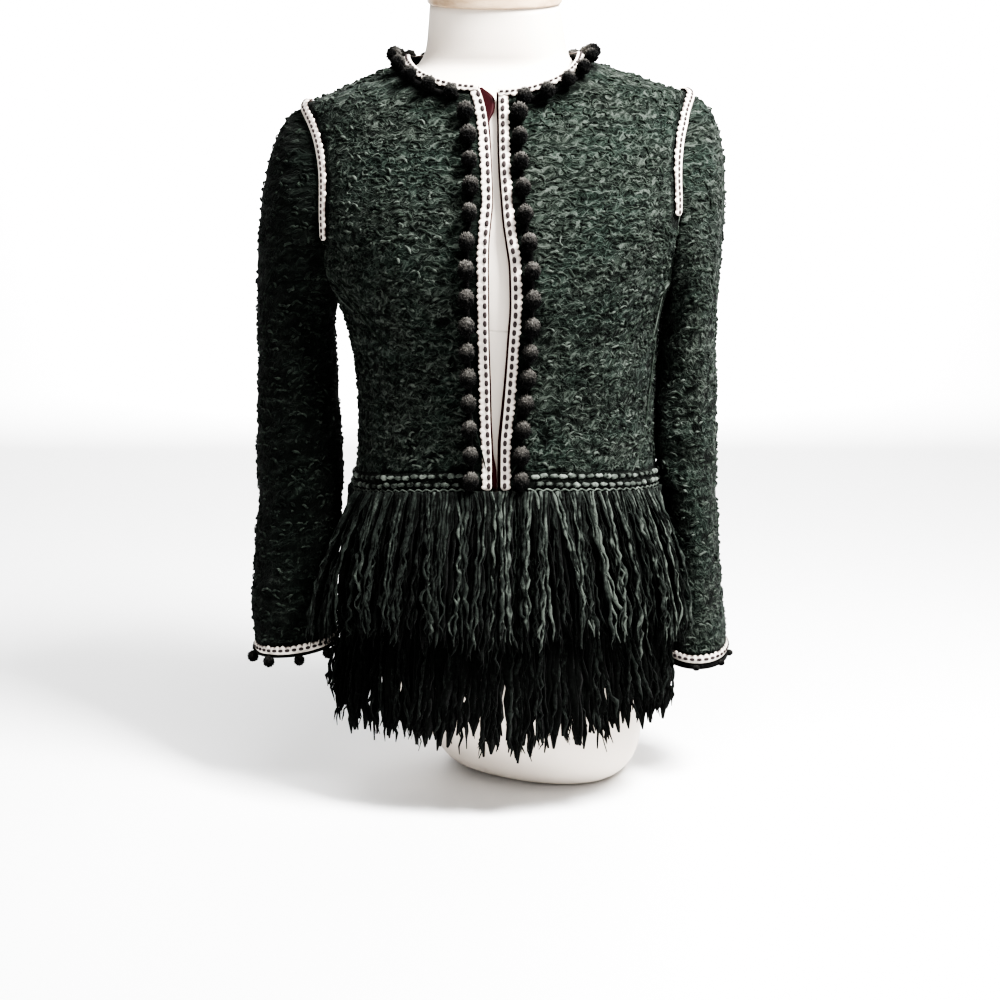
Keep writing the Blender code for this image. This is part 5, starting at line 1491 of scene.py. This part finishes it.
def beads(distance, offset):
    """A row of oblong knots beside the waist seam: tubes of five rings that close at both ends."""
    stops = np.arange(BEAD_PITCH * offset + BEAD_LONG / 2, run[-1] - BEAD_LONG / 2, BEAD_PITCH)
    count, rings = len(stops), BEAD_SHAPE.size
    stops = stops + chance.uniform(-0.9, 0.9, count)
    steps = stops[:, None] + np.linspace(-0.5, 0.5, rings)[None] * BEAD_LONG
    away = np.repeat(distance + chance.uniform(-0.8, 0.8, count), rings)
    away = away + chance.uniform(-0.5, 0.5, count * rings)
    placed = beside_each(between(steps.ravel(), run, line), away, LIFT + BEAD_LIFT)
    path, up = (a.reshape(-1, rings, 3) for a in placed)
    shape = BEAD_SHAPE * chance.uniform(0.78, 1.12, (count, 1))
    shape = shape * chance.uniform(0.82, 1.12, shape.shape)
    knots = tubes(path, *frames_along(path, up), BEAD_HALF_WIDE * shape, BEAD_HALF_HIGH * shape, BEAD_CORNERS)
    tone = np.clip(chance.normal(0.55, 0.24, (count, 1)) + (shape - 0.8) * 0.9, 0, 1.1)
    return knots, np.repeat(tone.ravel(), BEAD_CORNERS)


for part, tone in (beads(*row) for row in BEAD_ROWS):
    parts.append(part)
    tones.append(tone)
wave = resampled(line, 1.3)
wave_run = run_of(jacket(*wave.T))
middle, normal = beside_each(wave, 0.7 + 0.9 * np.sin(TAU * wave_run / CORD_WAVE), LIFT + CORD_LIFT)
cord_wide = CORD_RADIUS * (1 + 0.2 * np.sin(TAU * wave_run / (CORD_WAVE / 2)))[None]
sides = frames_along(middle[None], normal[None])
parts.append(tubes(middle[None], *sides, cord_wide, cord_wide * 0.8, CORD_CORNERS))
tones = np.concatenate([*tones, np.full(CORD_CORNERS * len(wave), 0.5)])
waist_braid = add_piece(
    "waist_bobbles", *joined(*parts), bobble_yarn, ["braid_waist"], "braid_black", tone=tones
)

# %% [markdown]
# ## Pompoms
#
# Each pompom is a ball of cut wool. A dark core is covered with a couple of hundred fine tufts that point
# outwards from its middle on a spiral, so that they are evenly spread, and each is a little longer or
# shorter than the next. Painted light and shade make each tuft lighter at its tip than at its root, and the
# tufts and core lighter on the ball's upper side and darker underneath.

# %% Balls of cut wool
TUFTS, TUFT_THICK, CORE_SIZE, CORE_RINGS, CORE_CORNERS = 210, 0.115, 0.86, 6, 9
pompom_wool = tweed_yarn(
    "pompom_wool", (0.0015, 0.0015, 0.0015), (0.040, 0.038, 0.035), (0.135, 0.128, 0.116)
)


def on_ball(level, around, up):
    """Directions from a ball's middle."""
    return np.stack(np.broadcast_arrays(level * np.cos(around), level * np.sin(around), up), -1)


def pompoms(middles, outs, ups, radius, tall, seed):
    """Cores and tufts of a row of balls: core rings by latitude, tufts on a golden-angle spiral."""
    chance = np.random.default_rng(seed)
    count = len(middles)
    sides = unit(np.cross(ups, outs))
    size = chance.uniform(0.95, 1.06, (count, 1, 1))
    half = np.array([radius, radius, tall])

    def to_ball(directions):
        """Local directions, stretched to the ball's three half sizes and turned to its own frame."""
        local = directions * half * size
        placed = middles[:, None]
        for k, way in enumerate((sides, outs, ups)):
            placed = placed + way[:, None] * local[..., [k]]
        return placed

    latitude = np.linspace(-1.25, 1.25, CORE_RINGS)[:, None]
    rings = on_ball(np.cos(latitude), round_turns(CORE_CORNERS), np.sin(latitude))
    core = to_ball(CORE_SIZE * np.broadcast_to(rings.reshape(1, -1, 3), (count, rings.size // 3, 3)))
    k = np.arange(TUFTS) + 0.5
    up = 1 - 2 * k / TUFTS
    aim = on_ball(np.sqrt(1 - up**2), k * math.pi * (3 - math.sqrt(5)), up)[None]
    aim = unit(aim + chance.normal(0, 0.10, (count, TUFTS, 3)))
    bent = unit(aim + chance.normal(0, 0.16, aim.shape))
    tip = to_ball(bent * chance.uniform(0.96, 1.09, (count, TUFTS, 1)))
    root = to_ball(aim * 0.76)
    axis = unit(tip - root)
    wide = unit(np.cross(axis, chance.normal(0, 1, axis.shape)))
    other = np.cross(axis, wide)
    thick = TUFT_THICK * radius * chance.uniform(0.8, 1.3, (count, TUFTS, 1))
    corners = [root + thick * (wide * math.cos(a) + other * math.sin(a)) for a in (0, 2.094, 4.189)]
    tufts = np.stack(corners + [tip], 2).reshape(-1, 3)
    index = np.arange(len(tufts)).reshape(-1, 4)
    tuft_faces = np.concatenate([index[:, f] for f in ([0, 1, 3], [1, 2, 3], [2, 0, 3], [2, 1, 0])])
    core = loft(core.reshape(count, CORE_RINGS, CORE_CORNERS, 3))
    points, faces = joined(core, (tufts, tuft_faces.tolist()))
    # Painted light and shade: tufts and core are lighter on the ball's upper side and darker below, and each
    # tuft darker at its root than at its tip.
    upper = np.clip(0.30 + 1.05 * aim[..., 2], 0.0, 1.1).reshape(-1, 1)
    tuft_tone_and_light = np.array([[0.8, 0.8, 0.8, 1.0]]) * upper * chance.uniform(0.6, 1.15, upper.shape)
    core_painted_light = np.tile(np.repeat(np.clip(0.15 + 0.6 * np.sin(latitude), 0.0, 1), CORE_CORNERS), count)
    return points, faces, np.concatenate([core_painted_light, np.clip(tuft_tone_and_light, 0, 1).ravel()])


def add_wool(node, tape, balls, balls_tone=1.0):
    """A tape and its row of balls as one piece."""
    tone = np.concatenate([np.full(len(tape[0]), TAPE_TONE), balls[2] * balls_tone])
    points, faces = joined(tape, balls[:2])
    return add_piece(f"{node}_wool", points, faces, pompom_wool, [node], "pompom_wool", tone=tone)


TAPE_WIDTH, TAPE_THICK, POMPOM_SUNK = 4.0, 1.3, 0.9
FRONT_TAPE, NECK_TAPE = 19.0, 13.4
FRONT_POMPOM = {"count": 15, "radius": 8.0, "tall": 9.6, "end": 8.5}
NECK_POMPOM = {"count": 24, "radius": 7.2, "tall": 8.4, "end": 7.0}
CUFF_POMPOMS, CUFF_TONE = 9, 0.35
CUFF_TAPE = {"right": (-1.6, 0.6), "left": (-4.4, 0.6)}
CUFF_POMPOM = {
    "right": {"radius": 5.8, "tall": 6.0, "forward": 3.9, "down": 3.0},
    "left": {"radius": 4.2, "tall": 3.2, "forward": 1.4, "down": -1.8},
}


def pompom_tape(node, line, sign, distance, size, lift, seed):
    """A black tape beside an edge, and its row of pompoms."""
    ends = distance - TAPE_WIDTH / 2, distance + TAPE_WIDTH / 2
    tape = loft(strip(line, sign, ends, (TAPE_THICK, TAPE_THICK), lift))
    middle, normal = beside(line, sign, distance, lift + TAPE_THICK - POMPOM_SUNK)
    run = run_of(middle)
    stops = np.linspace(size["end"], run[-1] - size["end"], size["count"])
    at, out = (between(stops, run, a) for a in (middle, normal))
    out = unit(out)
    ups = unit(UP - out * out[:, 2:])
    balls = pompoms(at + out * size["radius"], out, ups, size["radius"], size["tall"], seed)
    return add_wool(node, tape, balls)


neck_cut, front_cut = BRAID_WIDTH + 4.0, NECK_TAPE + TAPE_WIDTH + 2.0
line = resampled(neckline(), 3.0, neck_cut, neck_cut)
pompom_rows = {"neck": pompom_tape("pompoms_neck", line, 1, NECK_TAPE, NECK_POMPOM, SHOULDER_LIFT, 5)}
for (side, sign), seed in zip(SIGN.items(), (8, 6)):
    line = resampled(front_lines[side], 3.0, 0.5, front_cut)
    node = f"pompoms_front_{side}"
    pompom_rows[side] = pompom_tape(node, line, sign, FRONT_TAPE, FRONT_POMPOM, LIFT, seed)

# %% [markdown]
# The cuffs' pompoms hang from a tape along the hem.

# %% Cuff pompoms
for side, seed in zip(SIGN, (31, 37)):
    hem, up, out = cuff_frame(side)
    low, high, size = *CUFF_TAPE[side], CUFF_POMPOM[side]
    top = CUFF_LIFT + TAPE_THICK
    corners = ((low, top), (high, top), (high, CUFF_LIFT), (low, CUFF_LIFT))
    tape = loft(np.stack([hem + up * rise + out * proud for rise, proud in corners], 1), closed=True)
    edge = hem + up * low + out * (CUFF_LIFT + TAPE_THICK / 2)
    run = run_of(ringed(edge))
    stops = run[-1] * (np.arange(CUFF_POMPOMS) + 0.5) / CUFF_POMPOMS
    at, facing = (between(stops, run, ringed(a)) for a in (edge, out))
    facing = unit(facing * np.array([1, 1, 0]))
    upright = np.tile(UP, (len(stops), 1))
    middles = at + facing * size["forward"] - upright * size["down"]
    balls = pompoms(middles, facing, upright, size["radius"], size["tall"], seed)
    pompom_rows[f"cuff_{side}"] = add_wool(f"pompoms_cuff_{side}", tape, balls, CUFF_TONE)

# %% [markdown]
# ## Facings
#
# A burgundy satin facing lines the front edges. It shows as a thin line beside the braid, and more of it at
# the neck and at the waist, where the fronts roll open.

# %% Satin facings
CLOTH, LINING_CLOTH, FACING_DEPTH = 2.2, 1.2, 12.0
FACING_LIFT, FACING_COLUMNS = -CLOTH - 1.2 - LINING_CLOTH, np.linspace(0, 1, 8)[:, None]
FACING_SHOWS = Table(
    """
    z   right left
    300   4.4  2.6
    326   4.0  2.6
    346   1.4  2.6
    380   1.2  2.2
    440   0.8  1.4
    600   0.8  1.2
    645   1.8  1.2
    656   8.0  1.6
    664  10.5  1.6
    677   3.0  1.2
    """
)


def satin():
    """Satin: a smooth sheen with fine threads along it and faint soft ripples."""
    finish = Finish("burgundy_satin")
    threads = finish.noise(finish.place((2600, 2600, 180)), 1.0, 1.0)
    ripples = finish.noise(finish.place((70, 70, 24)), 1.0, 2.0)
    colour = finish.mix(ripples, (0.012, 0.0003, 0.0011), (0.028, 0.0008, 0.0028))
    fixed = {"Specular IOR Level": 0.08}
    return finish.done(colour, 0.46 + threads * 0.14, ripples + threads * 0.12, 0.8, fixed)


burgundy = satin()
for side, sign in SIGN.items():
    line = resampled(front_lines[side], 3.0)
    shows = FACING_SHOWS.at(side, line[:, 1])
    distances = -shows + (FACING_DEPTH + shows) * FACING_COLUMNS
    ripple = 0.25 * np.sin(line[:, 1] / 6.5 + 5 * FACING_COLUMNS) * np.sin(np.pi * FACING_COLUMNS)
    points, faces = loft(strip(line, sign, distances, (LINING_CLOTH + ripple)[..., None], FACING_LIFT))
    node = f"facing_{side}"
    add_piece(f"{node}_satin", points, faces, burgundy, [node], "facing_satin")

# %% [markdown]
# ## Dress form
#
# The form is a smooth padded body under cream jersey, with no limbs and no more anatomy than a bust line. It
# ends in a rounded hip with a flat underside, and in a neck with a wooden cap.

# %% The form's rings
FORM = Table(
    """
    z   middle_x middle_y right left front back turn lean
    0         39       14    76   80    51   51  -30    0
    3         39       14    86   90    62   62  -30    0
    10        39       14    95   99    73   73  -29    0
    24        38       14   103  108    82   82  -27    0
    45        33       13   111  116    90   89  -23    0
    80        21       10   121  127    97   96  -13    0
    120        8        4   132  141   102  104   -4    0
    160        0        0   133  149   104  106    0    0
    205        0        0   131  149   105  103    0    0
    250        0        0   129  146   108   95    0    0
    300        0        0   132  149   113   89    0    0
    340        0        0   128  148   108   81    0    0
    380        0        0   127  147   109   79    0    0
    420        0        0   130  148   113   84    0    0
    455        0        0   136  150   120   92    0    0
    480        0        0   147  155   125   99    0    0
    510        0        0   161  167   127  104    0    0
    545        0        0   173  179   124  107    0    0
    580        0        0   178  187   113  106    0    0
    615        0        0   178  188    98  100    0    0
    640        0        0   177  186    85   92    0    0
    655        0        0   171  179    77   85    0    0
    664        0        0   157  171    71   78    0    0
    673        0        0   140  158    66   73    0    0
    681        0        0   122  139    61   69    0    0
    690        0        1   101  111    56   61    0 0.02
    700        0        1    78   78    53   49    0 0.06
    714        0       -1    68   67    53   49    0 0.12
    735       -1       -4    64   64    54   53    0 0.19
    757       -2       -9    61   61    54   54    0 0.23
    """
)
FORM_PLATE = {"right": 151, "left": 156}
FORM_COLUMNS, FORM_STEP, FORM_SHRINK, COVERED = 96, 6.0, 1.2, ((280, 20), (712, 10))
FORM_FOOT, FORM_EVEN_FROM, FORM_TOP = (0, 1, 3, 6, 10, 16), 24, FORM.rows[-1, 0]
FORM_SEAM_Z = 0.458


def form_ring(z):
    """A ring at each height in its own place, turn and lean, a little slimmer where the jacket covers it."""
    z = np.asarray(z, float)[:, None]
    value = {name: FORM.at(name, z) for name in FORM.names[1:]}
    (low, fade_in), (high, fade_out) = COVERED
    slim = FORM_SHRINK * np.clip((z - low) / fade_in, 0, 1) * np.clip((high - z) / fade_out, 0, 1)
    x, y = ring(round_turns(FORM_COLUMNS)[None], *(value[side] - slim for side in JACKET.names[1:]))
    x = np.clip(x, -FORM_PLATE["right"], FORM_PLATE["left"])
    turn = np.radians(value["turn"])
    turned_x = value["middle_x"] + x * np.cos(turn) - y * np.sin(turn)
    turned_y = value["middle_y"] + x * np.sin(turn) + y * np.cos(turn)
    return np.stack([turned_x, turned_y, z + value["lean"] * y], -1)


def jersey():
    """Stretched jersey: a very fine knit, faint shading, and a seam line round the body."""
    finish = Finish("cream_jersey")
    place = finish.place()
    knit = finish.noise(finish.place((1500, 1500, 900)), 1.0, 1.0)
    soft = finish.noise(place, 16.0, 3.0)
    up = finish.node("SeparateXYZ", {"Vector": place}, "Z")
    seam = finish.math("ABSOLUTE", up - FORM_SEAM_Z + (soft - 0.5) * 0.003)
    in_seam = 1 - finish.ramp(seam, 0.0003, 0.0014)
    colour = finish.mix(soft, (0.71, 0.64, 0.565), (0.755, 0.69, 0.62))
    colour = finish.mix(in_seam * 0.35, colour, (0.42, 0.37, 0.33))
    return finish.done(colour, 0.82, knit * 0.25 + soft * 0.5 - in_seam, 0.5, {"Sheen Weight": 0.1})


even = np.linspace(FORM_EVEN_FROM, FORM_TOP, int((FORM_TOP - FORM_EVEN_FROM) / FORM_STEP))
rings = form_ring(np.concatenate([FORM_FOOT, even, [FORM_TOP + 0.4]]))
rings[-1] = rings[-2] + (rings[-2].mean(0) - rings[-2]) * 0.012 + [0, 0, 0.35]
rings[0] += (rings[0].mean(0) - rings[0]) * 0.004
dress_form = add_piece("form_body", *loft(rings), jersey(), ["dress_form"], "form_cloth")

# %% [markdown]
# The cap is a turned disc of pale wood with a rounded rim, tilted as the neck's top is.

# %% Neck cap
CAP_OVERHANG, CAP_THICK, CAP_ROUND, CAP_EASE, CAP_LIFT = 2.5, 13.0, 4.0, 2, 0.3
CAP_UP = unit(np.array([0, -FORM.rows[-1, FORM.names.index("lean")], 1.0]))
CAP_DIMPLE = (-18.0, CAP_THICK + 0.05), (-44.0, CAP_THICK + 0.1)


def turned_wood():
    """Pale wood: grain bands stretched along one way, fine pores, and a soft lacquer."""
    finish = Finish("pale_wood")
    bands = finish.noise(finish.place((12, 130, 130)), 1.0, 4.0, 0.6)
    pores = finish.noise(finish.place((120, 1500, 1500)), 1.0, 2.0)
    colour = finish.mix(finish.ramp(bands, 0.3, 0.7), (0.56, 0.43, 0.30), (0.40, 0.28, 0.18))
    colour = finish.mix(finish.ramp(pores, 0.6, 0.75) * 0.4, colour, (0.25, 0.17, 0.11))
    return finish.done(colour, 0.42 + pores * 0.12, bands * 0.4 + pores * 0.4, 0.25, {"Coat Weight": 0.2})


top = form_ring([FORM_TOP])[0]
outward = unit(top - top.mean(0))
bevel = np.linspace(0, math.pi / 2, 6)
under = [(CAP_OVERHANG - CAP_EASE + CAP_EASE * math.sin(a), CAP_EASE - CAP_EASE * math.cos(a)) for a in bevel]
over = [
    (CAP_OVERHANG - CAP_ROUND + CAP_ROUND * math.cos(a), CAP_THICK - CAP_ROUND + CAP_ROUND * math.sin(a))
    for a in bevel
]
sections = [*under, *over, *CAP_DIMPLE]
rings = np.array([top + outward * wider + CAP_UP * (CAP_LIFT + higher) for wider, higher in sections])
add_piece("turned_cap", *loft(rings), turned_wood(), ["neck_cap"], "cap_wood")

# %% [markdown]
# ## Sizes of the cloth
#
# Each panel's cut size, its widest row and longest column, and its flat area are printed. The flat area is
# measured on the smooth grid, before any relief is raised on it.


# %% Sheets
def area_of(grid, closed=False):
    """Area of a grid in square metres: half the cross product of each square's diagonals."""
    right = np.roll(grid, -1, 1) if closed else grid[:, 1:]
    left = grid if closed else grid[:, :-1]
    square = np.cross(right[1:] - left[:-1], left[1:] - right[:-1])
    return float(np.linalg.norm(square, axis=-1).sum() / 2 * MM**2)


def cut_of(grid, closed=False):
    """Widest row and longest column of a grid, in metres."""
    loop = np.concatenate([grid, grid[:, :1]], 1) if closed else grid
    wide = np.linalg.norm(np.diff(loop, axis=1), axis=-1).sum(1).max()
    long = np.linalg.norm(np.diff(grid, axis=0), axis=-1).sum(0).max()
    return round(float(wide) * MM, 3), round(float(long) * MM, 3)


for name, (panel, slubs, grid) in panels.items():
    closed = name.startswith("sleeve")
    size, area = cut_of(grid, closed), area_of(grid, closed)
    print(f"{name}: cut {size[0]} x {size[1]} m, {area:.4f} square metres")
size, area = cut_of(peplum_grid), area_of(peplum_grid)
print(f"peplum: cut {size[0]} x {size[1]} m, {area:.4f} square metres")
